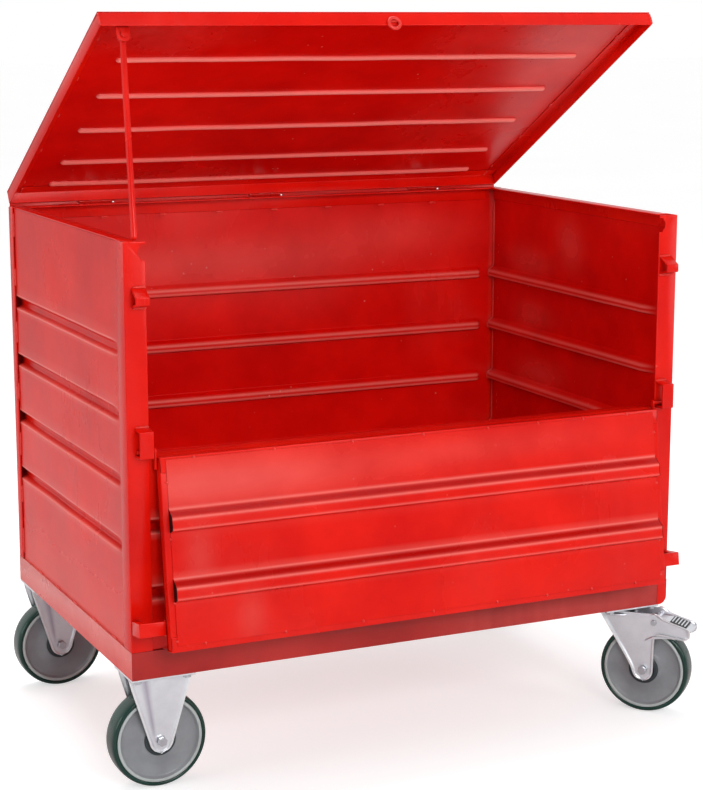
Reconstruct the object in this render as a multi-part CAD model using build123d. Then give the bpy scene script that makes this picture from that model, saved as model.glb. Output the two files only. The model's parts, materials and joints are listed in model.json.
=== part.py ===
from build123d import *
import math
import os

# Waste trolley: a swaged sheet-steel container on four castors, with a top lid held open
# by a prop rod and a front flap that folds down. Millimetres, +Z up, front towards -Y.
# The container is laid out about its own middle; everything is then moved together so that
# the origin is the middle of the whole footprint, on the ground.

# ---- driving dimensions ---------------------------------------------------------------
BODY_L = 1250.0            # along X, outside the corner posts
BODY_W = 800.0             # along Y, outside the corner posts
FRAME_BOTTOM = 242.0       # underside of the base frame = height of the castors
FRAME_H = 57.0
WALL_TOP = 1109.0
SHEET = 2.0
STEEL = 4.0                # thickness of posts and base rails
FRONT_POST = 45.0
REAR_POST = 30.0
RIM = 30.0
RIM_T = 3.0
RAIL_FLANGE = 40.0
RAIL_END_R = 18.0          # lower edge of the base frame at the swivel end
BEARER_X = 205.0
BEARER_W = 40.0
BEARER_H = 36.0
LOWER_RAIL_H = 25.0
LOWER_RAIL_W = 28.0
LOWER_RAIL_T = 3.0
NOTCH_LOW = 1073.0         # finger notch in the posts' front flange
NOTCH_H = 30.0
NOTCH_CUT = 9.0

SWAGE_DEPTH = 15.0
SWAGE_H = 30.0
SWAGE_SLOPE = 8.0
WALL_SWAGES = [503.5 + 131.0 * i for i in range(4)]
LOWER_FRONT_SWAGES = [416.0, 551.0]
LOWER_FRONT_TOP = 692.0

LID_L = 1246.0
LID_FRONT_Y = -392.0
LID_REAR_Y = 400.0
LID_GAP = 1.0              # lid frame above the wall rims when shut
LID_ANGLE = 30.0           # leg of the lid's edge angles, sheet included
LID_AXIS_Y = 408.0
LID_AXIS_Z = 1112.0
LID_OPEN = 30.0            # degrees open on the prop rod
LID_HINGES_X = [-420.0, 0.0, 420.0]
LEAF_L = 80.0
LEAF_T = 3.0
LEAF_LOW = 1052.0
LEAF_HIGH = 1106.0
KNUCKLE_L = 27.0
KNUCKLE_R = 7.0
PIN_R = 3.0
UPSTAND_Y = 401.0
UPSTAND_LOW = 1098.0
UPSTAND_TOP = 1114.2
BEAD_R = 6.0
BEAD_END = 88.0            # from the lid's side edge
BEAD_PLACES = (0.230, 0.424, 0.618, 0.812, 0.950)   # along the lid's depth, from its front edge

EYE_R = 12.0               # padlock eye, to the middle of its bar
EYE_BAR_R = 3.5
BRACKET_R = 14.0
BRACKET_T = 4.0
BRACKET_Y = 5.0            # bracket's face in front of the rod's pivot
PIVOT_HEAD_R = 6.5
ROD_EYE_T = 6.0
ROD_R = 6.0
ROD_GAP = 0.6              # under the rod's ball end, so that the loop stays open
ROD_EYE_R = 11.0
ROD_PIVOT = (-574.0, -370.0, 1098.0)      # in the shut lid
ROD_FOOT = (-597.0, -386.0, 1116.0)       # middle of the rod's ball end, lid open

FLAP_L = 1138.0
FLAP_H = 381.0
FLAP_DEPTH = 25.0
FLAP_LEG = 30.0
FLAP_T = 3.0
FLAP_BORDER = 12.0         # frame left showing round the sheet
FLAP_AXIS_Y = -405.0
FLAP_AXIS_Z = 702.0
FLAP_OFFSET = 12.0         # from the axis up to the shut flap's lower edge
FLAP_INNER_Y = 19.5        # from the axis in to the flap's inner face
FLAP_SWING = 172.0         # degrees from shut to hanging
FLAP_SWAGES = [124.0, 260.0]
FLAP_SWAGE_H = 38.0
FLAP_PIN_R = 4.0
FLAP_PIN_L = 34.0
EAR_R = 7.0
LUG_UP = 335.0
LUG_H = 28.0
LUG_T = 8.0
LUG_TIP_W = 16.0
LUG_TIP_Y = FLAP_AXIS_Y - 51.0

STRAP_W = 28.0
STRAP_T = 5.0
STRAP_OUT = 30.0
HINGE_STRAP_X = 594.5
HINGE_STRAP_Z = (691.0, 750.0)
HINGE_STRAP_BEVEL = 4.0
KEEPER_X = 597.0
KEEPER_Z = (982.0, 1022.0)
KEEPER_BEVEL = 16.0

WHEEL_R = 100.0
WHEEL_W = 50.0
TREAD_T = 10.0
FORK_GAP = 60.0
FORK_T = 4.0
PLATE_T = 5.0
PLATE_L = 135.0
PLATE_W = 110.0
BOLT_X = 52.5
BOLT_Y = 44.0
BOLT_R = 5.0
BOLT_CLEARANCE = 0.5
HEAD_H = 6.0
NUT_H = 8.0
NUT_R = 9.0                # across the corners of heads and nuts, halved
PAD_L = 132.0
PAD_W = 102.0
PAD_T = 8.0
AXLE_R = 6.0
SLEEVE_R = 10.0
RUNNING = 0.06             # radial clearance of a turning fit
FIXED_X = -557.5
SWIVEL_X = 541.0
CASTOR_Y = 342.0
TRAIL = 65.0
LEG_FOOT_R = 25.0          # round end of a fork leg about the axle
RACE_R = 40.0
RACE_H = 7.0
CROWN_R = 41.0
CROWN_T = 5.0
CROWN_PLAY = 0.4           # between the ball race and the fork's crown
KINGPIN_R = 8.0
KINGPIN_NUT_R = 14.0
KINGPIN_NUT_H = 9.0
DISH_DEPTH = 6.0
HUB_R = 31.0
CAP_R = 30.0
CAP_T = 4.0
AXLE_HEAD_R = 10.5
AXLE_HEAD_H = 8.0
PEDAL_X = 22.0             # brake pedal's pin, ahead of the axle
PEDAL_Z = 211.0
PEDAL_W = 52.0
PEDAL_PIN_R = 4.0
PEDAL_BOSS_R = 8.0
PEDAL_SIDE = [(-18, -3), (30, -3), (84, -16), (84, -10), (31, 4), (-18, 4)]
SWIVEL_YAW = {"front_right": -48.0, "rear_right": 24.0}

HALF_L = BODY_L / 2
HALF_W = BODY_W / 2
FRAME_TOP = FRAME_BOTTOM + FRAME_H
FLOOR_TOP = FRAME_TOP + SHEET
SHEET_X = HALF_L - STEEL           # outer face of the side sheets
SHEET_Y = HALF_W - STEEL           # outer face of the rear and lower front sheets
SHEET_TOP = WALL_TOP - RIM_T
NODES = {}


# ---- helpers --------------------------------------------------------------------------
def block(x0, x1, y0, y1, z0, z1):
    """A box from its six faces."""
    centre = Pos((x0 + x1) / 2, (y0 + y1) / 2, (z0 + z1) / 2)
    return centre * Box(abs(x1 - x0), abs(y1 - y0), abs(z1 - z0))


def rod_along(axis, radius, start, end, at):
    """A cylinder along one row axis from start to end; at gives its other two coordinates."""
    middle, length = (start + end) / 2, abs(end - start)
    if axis == "X":
        return Pos(middle, at[0], at[1]) * Rot(Y=90) * Cylinder(radius, length)
    if axis == "Y":
        return Pos(at[0], middle, at[1]) * Rot(X=90) * Cylinder(radius, length)
    return Pos(at[0], at[1], middle) * Cylinder(radius, length)


def prism(points, thickness, plane="XZ"):
    """A flat outline of (a, b) points, made thickness thick about its own plane."""
    place = {"XZ": lambda a, b: (a, 0, b), "YZ": lambda a, b: (0, a, b), "XY": lambda a, b: (a, b, 0)}
    outline = Polyline(*[place[plane](a, b) for a, b in points], close=True)
    return extrude(make_face(outline), thickness / 2, both=True)


def swaged_sheet(length, low, high, swages, depth, height):
    """A sheet in the YZ plane whose outer face is x = 0, with swages pressed towards +X."""
    skin = [(0, low)]
    for level in swages:
        skin += [(0, level - height / 2), (depth, level - height / 2 + SWAGE_SLOPE)]
        skin += [(depth, level + height / 2 - SWAGE_SLOPE), (0, level + height / 2)]
    skin += [(0, high)]
    back = [(x + SHEET, z) for x, z in reversed(skin)]
    return prism(skin + back, length)


def both_ends(shape):
    """The shape and its mirror image on the other side of the YZ plane."""
    return [shape, mirror(shape, Plane.YZ)]


def solids_of(*shapes):
    """One compound of all the separate solids in the shapes."""
    flat = []
    for shape in shapes:
        flat += shape.solids()
    return Compound(flat)


# ---- base -----------------------------------------------------------------------------
def castor_centres():
    """Name and kingpin position of each castor."""
    return {
        "front_left": (FIXED_X, -CASTOR_Y),
        "rear_left": (FIXED_X, CASTOR_Y),
        "front_right": (SWIVEL_X, -CASTOR_Y),
        "rear_right": (SWIVEL_X, CASTOR_Y),
    }


def bolt_places():
    """Centre of each of the bolts that hold the castor plates."""
    places = []
    for x, y in castor_centres().values():
        places += [(x + i * BOLT_X, y + j * BOLT_Y) for i in (-1, 1) for j in (-1, 1)]
    return places


def bolt_holes():
    """Clearance holes through the castor pads and the base rails."""
    low, high = FRAME_BOTTOM - PAD_T, FRAME_BOTTOM + 1.5 * PAD_T
    return [rod_along("Z", BOLT_R + BOLT_CLEARANCE, low, high, place) for place in bolt_places()]


def round_lower_right(shape, radius):
    """Round the edge along Y that is lowest and furthest towards +X."""
    edges = shape.edges().filter_by(Axis.Y)
    return fillet(edges.sort_by(lambda edge: edge.center().X - edge.center().Z)[-1], radius)


def channel_ring():
    """The base frame's channel section carried all round, open side inwards."""
    outer = block(-HALF_L, HALF_L, -HALF_W, HALF_W, FRAME_BOTTOM, FRAME_TOP)
    outer = round_lower_right(outer, RAIL_END_R)
    web_hollow = block(
        -HALF_L + STEEL, HALF_L - STEEL, -HALF_W + STEEL, HALF_W - STEEL,
        FRAME_BOTTOM + STEEL, FRAME_TOP - STEEL,
    )
    web_hollow = round_lower_right(web_hollow, RAIL_END_R - STEEL)
    middle = block(
        -HALF_L + RAIL_FLANGE, HALF_L - RAIL_FLANGE, -HALF_W + RAIL_FLANGE, HALF_W - RAIL_FLANGE,
        FRAME_BOTTOM, FRAME_TOP,
    )
    return outer - web_hollow - middle


def make_base():
    ring = channel_ring()
    for hole in bolt_holes():
        ring -= hole
    mitre = HALF_W - 2 * RAIL_FLANGE
    long_side = [(-HALF_L, -HALF_W), (HALF_L, -HALF_W), (HALF_L - mitre, -HALF_W + mitre),
                 (-HALF_L + mitre, -HALF_W + mitre)]
    short_side = [(HALF_L, -HALF_W), (HALF_L, HALF_W), (HALF_L - mitre, HALF_W - mitre),
                  (HALF_L - mitre, -HALF_W + mitre)]
    level = Pos(0, 0, (FRAME_BOTTOM + FRAME_TOP) / 2)
    front_rail = ring & (level * prism(long_side, FRAME_H, "XY"))
    right_rail = ring & (level * prism(short_side, FRAME_H, "XY"))
    rear_rail = ring & (level * Rot(Z=180) * prism(long_side, FRAME_H, "XY"))
    left_rail = ring & (level * Rot(Z=180) * prism(short_side, FRAME_H, "XY"))
    NODES["base_long_rails"] = solids_of(front_rail, rear_rail)
    NODES["base_end_rails"] = solids_of(left_rail, right_rail)

    reach = HALF_W - RAIL_FLANGE
    low, half = FRAME_TOP - BEARER_H, BEARER_W / 2
    bearer = block(-half, half, -reach, reach, low, FRAME_TOP)
    bearer -= block(-half + STEEL, half - STEEL, -reach, reach, low, FRAME_TOP - STEEL)
    NODES["floor_bearers"] = solids_of(Pos(-BEARER_X) * bearer, Pos(BEARER_X) * bearer)

    pads = []
    for x, y in castor_centres().values():
        pad = Pos(x, y, FRAME_BOTTOM + PAD_T / 2) * Box(PAD_L, PAD_W, PAD_T) - channel_ring()
        for hole in bolt_holes():
            pad -= hole
        pads.append(pad)
    NODES["castor_pads"] = solids_of(*pads)

    inner_x, inner_y = SHEET_X - SHEET, SHEET_Y - SHEET
    NODES["floor_sheet"] = block(-inner_x, inner_x, -inner_y, inner_y, FRAME_TOP, FLOOR_TOP)

    bolts = []
    for place in bolt_places():
        shank = rod_along("Z", BOLT_R, FRAME_BOTTOM - PLATE_T, FRAME_BOTTOM + PAD_T + NUT_H + 2, place)
        hexagon = RegularPolygon(NUT_R, 6)
        head = Pos(place[0], place[1], FRAME_BOTTOM - PLATE_T - HEAD_H) * extrude(hexagon, HEAD_H)
        nut = Pos(place[0], place[1], FRAME_BOTTOM + PAD_T) * extrude(hexagon, NUT_H)
        bolts.append(shank + head + nut)
    NODES["castor_bolts"] = solids_of(*bolts)


# ---- container walls ------------------------------------------------------------------
def make_walls():
    side = swaged_sheet(2 * SHEET_Y, FRAME_TOP, SHEET_TOP, WALL_SWAGES, SWAGE_DEPTH, SWAGE_H)
    NODES["left_wall_panel"] = Pos(-SHEET_X) * side
    NODES["right_wall_panel"] = Rot(Z=180) * Pos(-SHEET_X) * side
    between = 2 * (SHEET_X - SHEET)
    rear = swaged_sheet(between - 2 * SWAGE_DEPTH - 1, FRAME_TOP, SHEET_TOP, WALL_SWAGES, SWAGE_DEPTH, SWAGE_H)
    NODES["rear_wall_panel"] = Rot(Z=-90) * Pos(-SHEET_Y) * rear
    lower = swaged_sheet(between - 2 * SWAGE_DEPTH - 1, FLOOR_TOP, LOWER_FRONT_TOP, LOWER_FRONT_SWAGES,
                         SWAGE_DEPTH, SWAGE_H)
    NODES["lower_front_panel"] = Rot(Z=90) * Pos(-SHEET_Y) * lower

    rail_half = SHEET_X - SHEET - SWAGE_DEPTH - 1
    rail_back = -SHEET_Y + SHEET
    top = LOWER_FRONT_TOP
    edge = block(-rail_half, rail_half, rail_back, rail_back + LOWER_RAIL_T, top - LOWER_RAIL_H, top)
    edge += block(-rail_half, rail_half, rail_back, rail_back + LOWER_RAIL_W, top - LOWER_RAIL_T, top)
    NODES["lower_front_rail"] = edge


def make_posts():
    flange_end = -HALF_L + FRONT_POST
    front_y, back_y = -HALF_W - 1, -HALF_W + STEEL + 1
    top, middle = NOTCH_LOW + NOTCH_H, NOTCH_LOW + NOTCH_H / 2
    notch = block(flange_end - NOTCH_CUT, flange_end + 1, front_y, back_y, NOTCH_LOW, top)
    notch += rod_along("Y", NOTCH_H / 2, front_y, back_y, (flange_end, middle)) & block(
        -HALF_L, flange_end, front_y, back_y, NOTCH_LOW, top)
    front = block(-HALF_L, -HALF_L + FRONT_POST, -HALF_W, -HALF_W + STEEL, FRAME_TOP, WALL_TOP)
    front += block(-HALF_L, -HALF_L + STEEL, -HALF_W, -HALF_W + FRONT_POST, FRAME_TOP, WALL_TOP)
    front -= notch
    rear = block(-HALF_L, -HALF_L + REAR_POST, HALF_W - STEEL, HALF_W, FRAME_TOP, WALL_TOP)
    rear += block(-HALF_L, -HALF_L + STEEL, HALF_W - REAR_POST, HALF_W, FRAME_TOP, WALL_TOP)
    NODES["front_left_post"], NODES["front_right_post"] = both_ends(front)
    NODES["rear_posts"] = solids_of(*both_ends(rear))


def make_rims():
    """Angles round the top of the walls; the side ones stop short of the rod's foot."""
    start = -HALF_W + RIM
    inner = SHEET_X - SHEET
    side = block(-SHEET_X, -SHEET_X + RIM, start, SHEET_Y, SHEET_TOP, WALL_TOP)
    side += block(-inner, -inner + RIM_T, start, SHEET_Y - SHEET, WALL_TOP - RIM, WALL_TOP)
    NODES["side_top_rims"] = solids_of(*both_ends(side))
    half = SHEET_X - RIM
    rear = block(-half, half, SHEET_Y - RIM, SHEET_Y, SHEET_TOP, WALL_TOP)
    rear += block(-half, half, SHEET_Y - SHEET - RIM_T, SHEET_Y - SHEET, WALL_TOP - RIM, WALL_TOP)
    NODES["rear_top_rim"] = rear


def strap(z0, z1, bevel):
    """A bent flat bar on the left post's face: out from the post, up, and back to it."""
    front, back, bar = -HALF_W - STRAP_OUT, -HALF_W, STRAP_T
    outer = [(back, z0), (front, z0 + bevel / 2), (front, z1 - bevel), (back, z1)]
    inner = [(back, z0 + bar), (front + bar, z0 + bevel / 2 + bar - 1),
             (front + bar, z1 - bevel - bar + 1), (back, z1 - bar * 1.2)]
    return prism(outer, STRAP_W, "YZ") - prism(inner, STRAP_W + 1, "YZ")


def make_flap_brackets():
    hinge_strap = Pos(-HINGE_STRAP_X) * strap(*HINGE_STRAP_Z, HINGE_STRAP_BEVEL)
    NODES["flap_hinge_straps"] = solids_of(*both_ends(hinge_strap))
    keeper = Pos(-KEEPER_X) * strap(*KEEPER_Z, KEEPER_BEVEL)
    NODES["flap_keepers"] = solids_of(*both_ends(keeper))


def make_prop_rest():
    """A shelf in the left post's corner; the rod's ball end stands on its free edge."""
    top = ROD_FOOT[2] - ROD_R - ROD_GAP
    back = -HALF_W + FRONT_POST - 18
    edge = ROD_FOOT[0] - 2.2
    NODES["prop_rest"] = block(-SHEET_X + SHEET, edge, -HALF_W + STEEL, back, top - STEEL, top)


# ---- lid ------------------------------------------------------------------------------
def lid_open(shape):
    """Turn a piece of the shut lid up about the hinge axis to where the rod holds it."""
    return Pos(0, LID_AXIS_Y, LID_AXIS_Z) * Rot(X=-LID_OPEN) * Pos(0, -LID_AXIS_Y, -LID_AXIS_Z) * shape


LID_BOTTOM = WALL_TOP + LID_GAP
LID_TOP = LID_BOTTOM + LID_ANGLE


def bead_places():
    """Depth and half length of each bead pressed into the lid, front to rear."""
    depth = LID_REAR_Y - LID_FRONT_Y
    return [(LID_FRONT_Y + depth * place, LID_L / 2 - BEAD_END) for place in BEAD_PLACES]


def make_lid():
    half = LID_L / 2
    under = LID_TOP - SHEET
    sheet = block(-half, half, LID_FRONT_Y, LID_REAR_Y, under, LID_TOP)
    for y, reach in bead_places():
        ridge = rod_along("X", BEAD_R, -reach, reach, (y, LID_TOP)) & block(
            -half, half, LID_FRONT_Y, LID_REAR_Y, under - BEAD_R, LID_TOP)
        sheet = sheet + ridge - rod_along("X", BEAD_R - SHEET, -reach + SHEET, reach - SHEET, (y, LID_TOP))
    NODES["lid_sheet"] = lid_open(sheet)

    leg = LID_ANGLE - SHEET
    front = block(-half, half, LID_FRONT_Y, LID_FRONT_Y + RIM_T, LID_BOTTOM, under)
    front += block(-half, half, LID_FRONT_Y, LID_FRONT_Y + leg, under - RIM_T, under)
    rear = block(-half, half, LID_REAR_Y - RIM_T, LID_REAR_Y, LID_BOTTOM, under)
    rear += block(-half, half, LID_REAR_Y - leg, LID_REAR_Y, under - RIM_T, under)
    side = block(-half, -half + RIM_T, LID_FRONT_Y + RIM_T, LID_REAR_Y - RIM_T, LID_BOTTOM, under - RIM_T)
    side += block(-half, -half + leg, LID_FRONT_Y + leg, LID_REAR_Y - leg, under - RIM_T, under)
    NODES["lid_edge_front_rear"] = lid_open(solids_of(front, rear))
    NODES["lid_edge_sides"] = lid_open(solids_of(*both_ends(side)))

    ring = Pos(0, LID_FRONT_Y - EYE_BAR_R, LID_BOTTOM + 2) * Rot(X=90) * Torus(EYE_R, EYE_BAR_R)
    NODES["padlock_eye"] = lid_open(ring)

    px, py, pz = ROD_PIVOT
    back, front = py - BRACKET_Y - BRACKET_T, py - BRACKET_Y
    plate = block(px - BRACKET_R, px + BRACKET_R, back, front, pz, under - RIM_T)
    plate += rod_along("Y", BRACKET_R, back, front, (px, pz))
    plate -= rod_along("Y", FLAP_PIN_R, back, front, (px, pz))
    NODES["rod_bracket"] = lid_open(plate)
    outer_end, inner_end, inner_head = back - 3, py + 8, py + ROD_EYE_T / 2 + 0.4
    pin = rod_along("Y", FLAP_PIN_R, outer_end, inner_end, (px, pz))
    pin += rod_along("Y", PIVOT_HEAD_R, outer_end, back, (px, pz))
    pin += rod_along("Y", PIVOT_HEAD_R, inner_head, inner_end, (px, pz))
    NODES["rod_pivot_pin"] = lid_open(pin)


def on_lid_axis(radius, x0, x1):
    return rod_along("X", radius, x0, x1, (LID_AXIS_Y, LID_AXIS_Z))


def make_lid_hinges():
    """Three hinges, and an upstand on the wall between them that closes the gap under the open lid."""
    wall_leaves, lid_leaves, pins = [], [], []
    half, mid = LEAF_L / 2, KNUCKLE_L / 2
    for x in LID_HINGES_X:
        leaf = block(x - half, x + half, SHEET_Y, SHEET_Y + LEAF_T, LEAF_LOW, LEAF_HIGH)
        for x0, x1 in ((x - half, x - mid - 0.5), (x + mid + 0.5, x + half)):
            leaf += block(x0, x1, SHEET_Y, LID_AXIS_Y, LEAF_HIGH - STEEL, LEAF_HIGH)
            leaf += on_lid_axis(KNUCKLE_R, x0, x1)
            leaf -= on_lid_axis(PIN_R, x0, x1)
        wall_leaves.append(leaf)
        upper = block(x - half, x + half, LID_REAR_Y, LID_REAR_Y + LEAF_T, LID_AXIS_Z + 9, LID_TOP - SHEET)
        upper += block(x - mid, x + mid, LID_REAR_Y, LID_AXIS_Y, LID_AXIS_Z + 4, LID_AXIS_Z + 10)
        upper += on_lid_axis(KNUCKLE_R, x - mid, x + mid)
        upper -= on_lid_axis(PIN_R + RUNNING, x - mid, x + mid)
        lid_leaves.append(lid_open(upper))
        pins.append(on_lid_axis(PIN_R, x - half - 2, x + half + 2))
    starts = [-SHEET_X] + [x + half + 4 for x in LID_HINGES_X]
    stops = [x - half - 4 for x in LID_HINGES_X] + [SHEET_X]
    for x0, x1 in zip(starts, stops):
        foot_x0, foot_x1 = max(x0, REAR_POST - HALF_L), min(x1, HALF_L - REAR_POST)
        foot = block(foot_x0, foot_x1, SHEET_Y, UPSTAND_Y + SHEET, UPSTAND_LOW, UPSTAND_LOW + SHEET)
        wall_leaves.append(foot + block(x0, x1, UPSTAND_Y, UPSTAND_Y + SHEET, UPSTAND_LOW, UPSTAND_TOP))
    NODES["lid_hinge_wall_leaves"] = solids_of(*wall_leaves)
    NODES["lid_hinge_lid_leaves"] = solids_of(*lid_leaves)
    NODES["lid_hinge_pins"] = solids_of(*pins)


def make_prop_rod():
    """A round bar from the eye in the lid's corner to its ball end on the post's shelf."""
    eye_x, eye_y, eye_z = ROD_PIVOT
    centre = lid_open(Location((eye_x, eye_y, eye_z))).position
    foot = Vector(*ROD_FOOT)
    along = (foot - centre).normalized()
    start = centre + along * (ROD_EYE_R - 2.5)
    length = (foot - start).length
    bar = Plane(origin=start, z_dir=along) * Pos(0, 0, length / 2) * Cylinder(ROD_R, length)
    bar += Pos(*ROD_FOOT) * Sphere(ROD_R)
    half = ROD_EYE_T / 2
    eye = rod_along("Y", ROD_EYE_R, eye_y - half, eye_y + half, (eye_x, eye_z))
    bore = rod_along("Y", FLAP_PIN_R + RUNNING, eye_y - 12, eye_y + 12, (eye_x, eye_z))
    head_room = rod_along("Y", PIVOT_HEAD_R + 1, eye_y + half, eye_y + 12, (eye_x, eye_z))
    NODES["prop_rod"] = bar + lid_open(eye) - lid_open(bore) - lid_open(head_room)


# ---- flap -----------------------------------------------------------------------------
def flap_down(shape):
    """Turn a piece of the shut flap down about its pins to where it hangs."""
    return Pos(0, FLAP_AXIS_Y, FLAP_AXIS_Z) * Rot(X=FLAP_SWING) * Pos(0, -FLAP_AXIS_Y, -FLAP_AXIS_Z) * shape


def make_flap():
    half = FLAP_L / 2
    low = FLAP_AXIS_Z + FLAP_OFFSET
    high = low + FLAP_H
    inner = FLAP_AXIS_Y + FLAP_INNER_Y
    outer = inner - FLAP_DEPTH
    frame = []
    for z0, z1, edge in ((low, low + FLAP_LEG, low), (high - FLAP_LEG, high, high - FLAP_T)):
        bar = block(-half, half, inner - FLAP_T, inner, z0, z1)
        frame.append(bar + block(-half, half, outer, inner, edge, edge + FLAP_T))
    upright = block(-half, -half + FLAP_LEG, inner - FLAP_T, inner, low + FLAP_LEG, high - FLAP_LEG)
    upright += block(-half, -half + FLAP_T, outer, inner, low + FLAP_T, high - FLAP_T)
    frame += both_ends(upright)
    NODES["flap_frame"] = flap_down(solids_of(*frame))

    sheet = swaged_sheet(FLAP_L - 2 * FLAP_BORDER, low + FLAP_BORDER, high - FLAP_BORDER,
                         [low + s for s in FLAP_SWAGES], SWAGE_DEPTH, FLAP_SWAGE_H)
    NODES["flap_panel"] = flap_down(Rot(Z=90) * Pos(inner) * sheet)

    axis = (FLAP_AXIS_Y, FLAP_AXIS_Z)
    ear = rod_along("X", EAR_R, -half - STEEL, -half, axis)
    ear += block(-half - STEEL, -half, axis[0] - 5.5, axis[0] + 5.5, axis[1], low + 24)
    pin = rod_along("X", FLAP_PIN_R, -half - STEEL - FLAP_PIN_L, -half - STEEL + 1, axis)
    NODES["flap_hinge_pins"] = flap_down(solids_of(*both_ends(ear + pin)))

    level = low + LUG_UP
    reach = HALF_L - 1
    low, high = level - LUG_H / 2, level + LUG_H / 2
    lug = block(-reach, -half + FLAP_T, outer - LUG_T, outer, low, high)
    lug += block(-reach, -reach + LUG_TIP_W, LUG_TIP_Y, outer, low, high)
    NODES["flap_stop_lugs"] = flap_down(solids_of(*both_ends(lug)))


# ---- castors --------------------------------------------------------------------------
def across(radius, width):
    """A cylinder about the axle's line, which runs along Y."""
    return Rot(X=90) * Cylinder(radius, width)


def leg_outline(points):
    """A fork leg seen from the side: the given outline, rounded about the axle at (0, 0)."""
    return prism(points, FORK_T) + across(LEG_FOOT_R, FORK_T) - across(AXLE_R + 0.2, FORK_T)


def wheel_pieces(name, place):
    """Wheel, tread, bearing caps and axle, made round the axle along Y, then put in place."""
    half = WHEEL_W / 2
    rim_r = WHEEL_R - TREAD_T
    outer = FORK_GAP / 2 + FORK_T
    centre = across(rim_r, WHEEL_W - CAP_T) - across(SLEEVE_R + RUNNING, WHEEL_W)
    dish = across(rim_r - 8, DISH_DEPTH) - across(HUB_R, DISH_DEPTH)
    cap = across(CAP_R, CAP_T) - across(SLEEVE_R + RUNNING, CAP_T)
    head = Rot(X=90) * extrude(RegularPolygon(AXLE_HEAD_R, 6), AXLE_HEAD_H / 2, both=True)
    axle = across(SLEEVE_R, FORK_GAP) + across(AXLE_R, 2 * outer)
    tread = Rot(X=90) * (fillet(Cylinder(WHEEL_R, WHEEL_W).edges(), 6) - Cylinder(rim_r, WHEEL_W))
    caps = []
    for side in (-1, 1):
        centre -= Pos(0, side * (half - 4), 0) * dish
        caps.append(Pos(0, side * half, 0) * cap)
        axle += Pos(0, side * (outer + AXLE_HEAD_H / 2), 0) * head
    NODES["wheel_centre_" + name] = place * centre
    NODES["wheel_tread_" + name] = place * tread
    NODES["bearing_caps_" + name] = place * solids_of(*caps)
    NODES["axle_bolt_" + name] = place * axle


def castor_plate():
    """Top plate with its four bolt holes, top face at the base frame's underside."""
    plate = block(-PLATE_L / 2, PLATE_L / 2, -PLATE_W / 2, PLATE_W / 2, FRAME_BOTTOM - PLATE_T, FRAME_BOTTOM)
    plate = fillet(plate.edges().filter_by(Axis.Z), 8)
    for i in (-1, 1):
        for j in (-1, 1):
            hole = (i * BOLT_X, j * BOLT_Y)
            plate -= rod_along("Z", BOLT_R + BOLT_CLEARANCE, FRAME_BOTTOM - PLATE_T, FRAME_BOTTOM, hole)
    return plate


def make_fixed_castor(name, x, y):
    top = FRAME_BOTTOM - PLATE_T - WHEEL_R
    blade = leg_outline([(-66, top), (66, top), (62, top - 14), (24, -8), (-24, -8), (-62, top - 14)])
    fork = castor_plate()
    for side in (-1, 1):
        fork += Pos(0, side * (FORK_GAP + FORK_T) / 2, WHEEL_R) * blade
    NODES["castor_fork_" + name] = Pos(x, y) * fork
    wheel_pieces(name, Pos(x, y, WHEEL_R))


CROWN_TOP = FRAME_BOTTOM - PLATE_T - RACE_H - CROWN_PLAY
CROWN_BOTTOM = CROWN_TOP - CROWN_T


def swivel_leg():
    """One leg of a swivel fork: back to the crown, down to the axle, forward as the pedal's arm."""
    top = CROWN_TOP - WHEEL_R
    points = [(-TRAIL - 38, top), (TRAIL * 0.42, top), (46, top - 12), (100, top - 24), (104, top - 46),
              (44, top - 50), (30, top - 58), (25, top - 72), (25, 0), (-20, -14), (-28, 6)]
    return leg_outline(points)


def make_swivel_castor(name, x, y):
    """The fork is built with its trail along +X, kingpin at x = 0, then turned by its yaw."""
    race_top = FRAME_BOTTOM - PLATE_T
    plate = castor_plate() + Pos(0, 0, race_top - RACE_H / 2) * Cylinder(RACE_R, RACE_H)
    plate -= rod_along("Z", KINGPIN_R, CROWN_TOP, FRAME_BOTTOM, (0, 0))
    NODES["castor_plate_" + name] = Pos(x, y) * plate

    turn = Pos(x, y) * Rot(Z=SWIVEL_YAW[name])
    fork = Pos(0, 0, (CROWN_TOP + CROWN_BOTTOM) / 2) * Cylinder(CROWN_R, CROWN_T)
    fork += block(-30, TRAIL + 30, -36, 36, CROWN_BOTTOM, CROWN_TOP)
    for side in (-1, 1):
        fork += Pos(TRAIL, side * (FORK_GAP + FORK_T) / 2, WHEEL_R) * swivel_leg()
    fork -= rod_along("Z", KINGPIN_R + RUNNING, CROWN_BOTTOM - 1, CROWN_TOP + 1, (0, 0))
    wheel_pieces(name, turn * Pos(TRAIL, 0, WHEEL_R))

    pivot = (TRAIL + PEDAL_X, PEDAL_Z)
    boss_reach = FORK_GAP / 2 - 0.5
    pedal = prism(PEDAL_SIDE, PEDAL_W)
    pedal += rod_along("Y", PEDAL_BOSS_R, -boss_reach, boss_reach, (0, 0))
    pedal -= rod_along("Y", PEDAL_PIN_R + RUNNING, -FORK_GAP / 2, FORK_GAP / 2, (0, 0))
    NODES["brake_pedal_" + name] = turn * Pos(pivot[0], 0, pivot[1]) * pedal
    pin_reach = FORK_GAP / 2 + FORK_T + 3
    pin = rod_along("Y", PEDAL_PIN_R, -pin_reach, pin_reach, pivot)
    NODES["brake_pin_" + name] = turn * pin
    NODES["castor_fork_" + name] = turn * (fork - pin)


def make_kingpins():
    pins = []
    for name in SWIVEL_YAW:
        x, y = castor_centres()[name]
        low = CROWN_BOTTOM - CROWN_PLAY
        pin = rod_along("Z", KINGPIN_R, low, FRAME_BOTTOM, (x, y))
        nut = Pos(x, y, low - KINGPIN_NUT_H) * extrude(RegularPolygon(KINGPIN_NUT_R, 6), KINGPIN_NUT_H)
        pins.append(pin + nut)
    NODES["castor_kingpins"] = solids_of(*pins)


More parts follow.
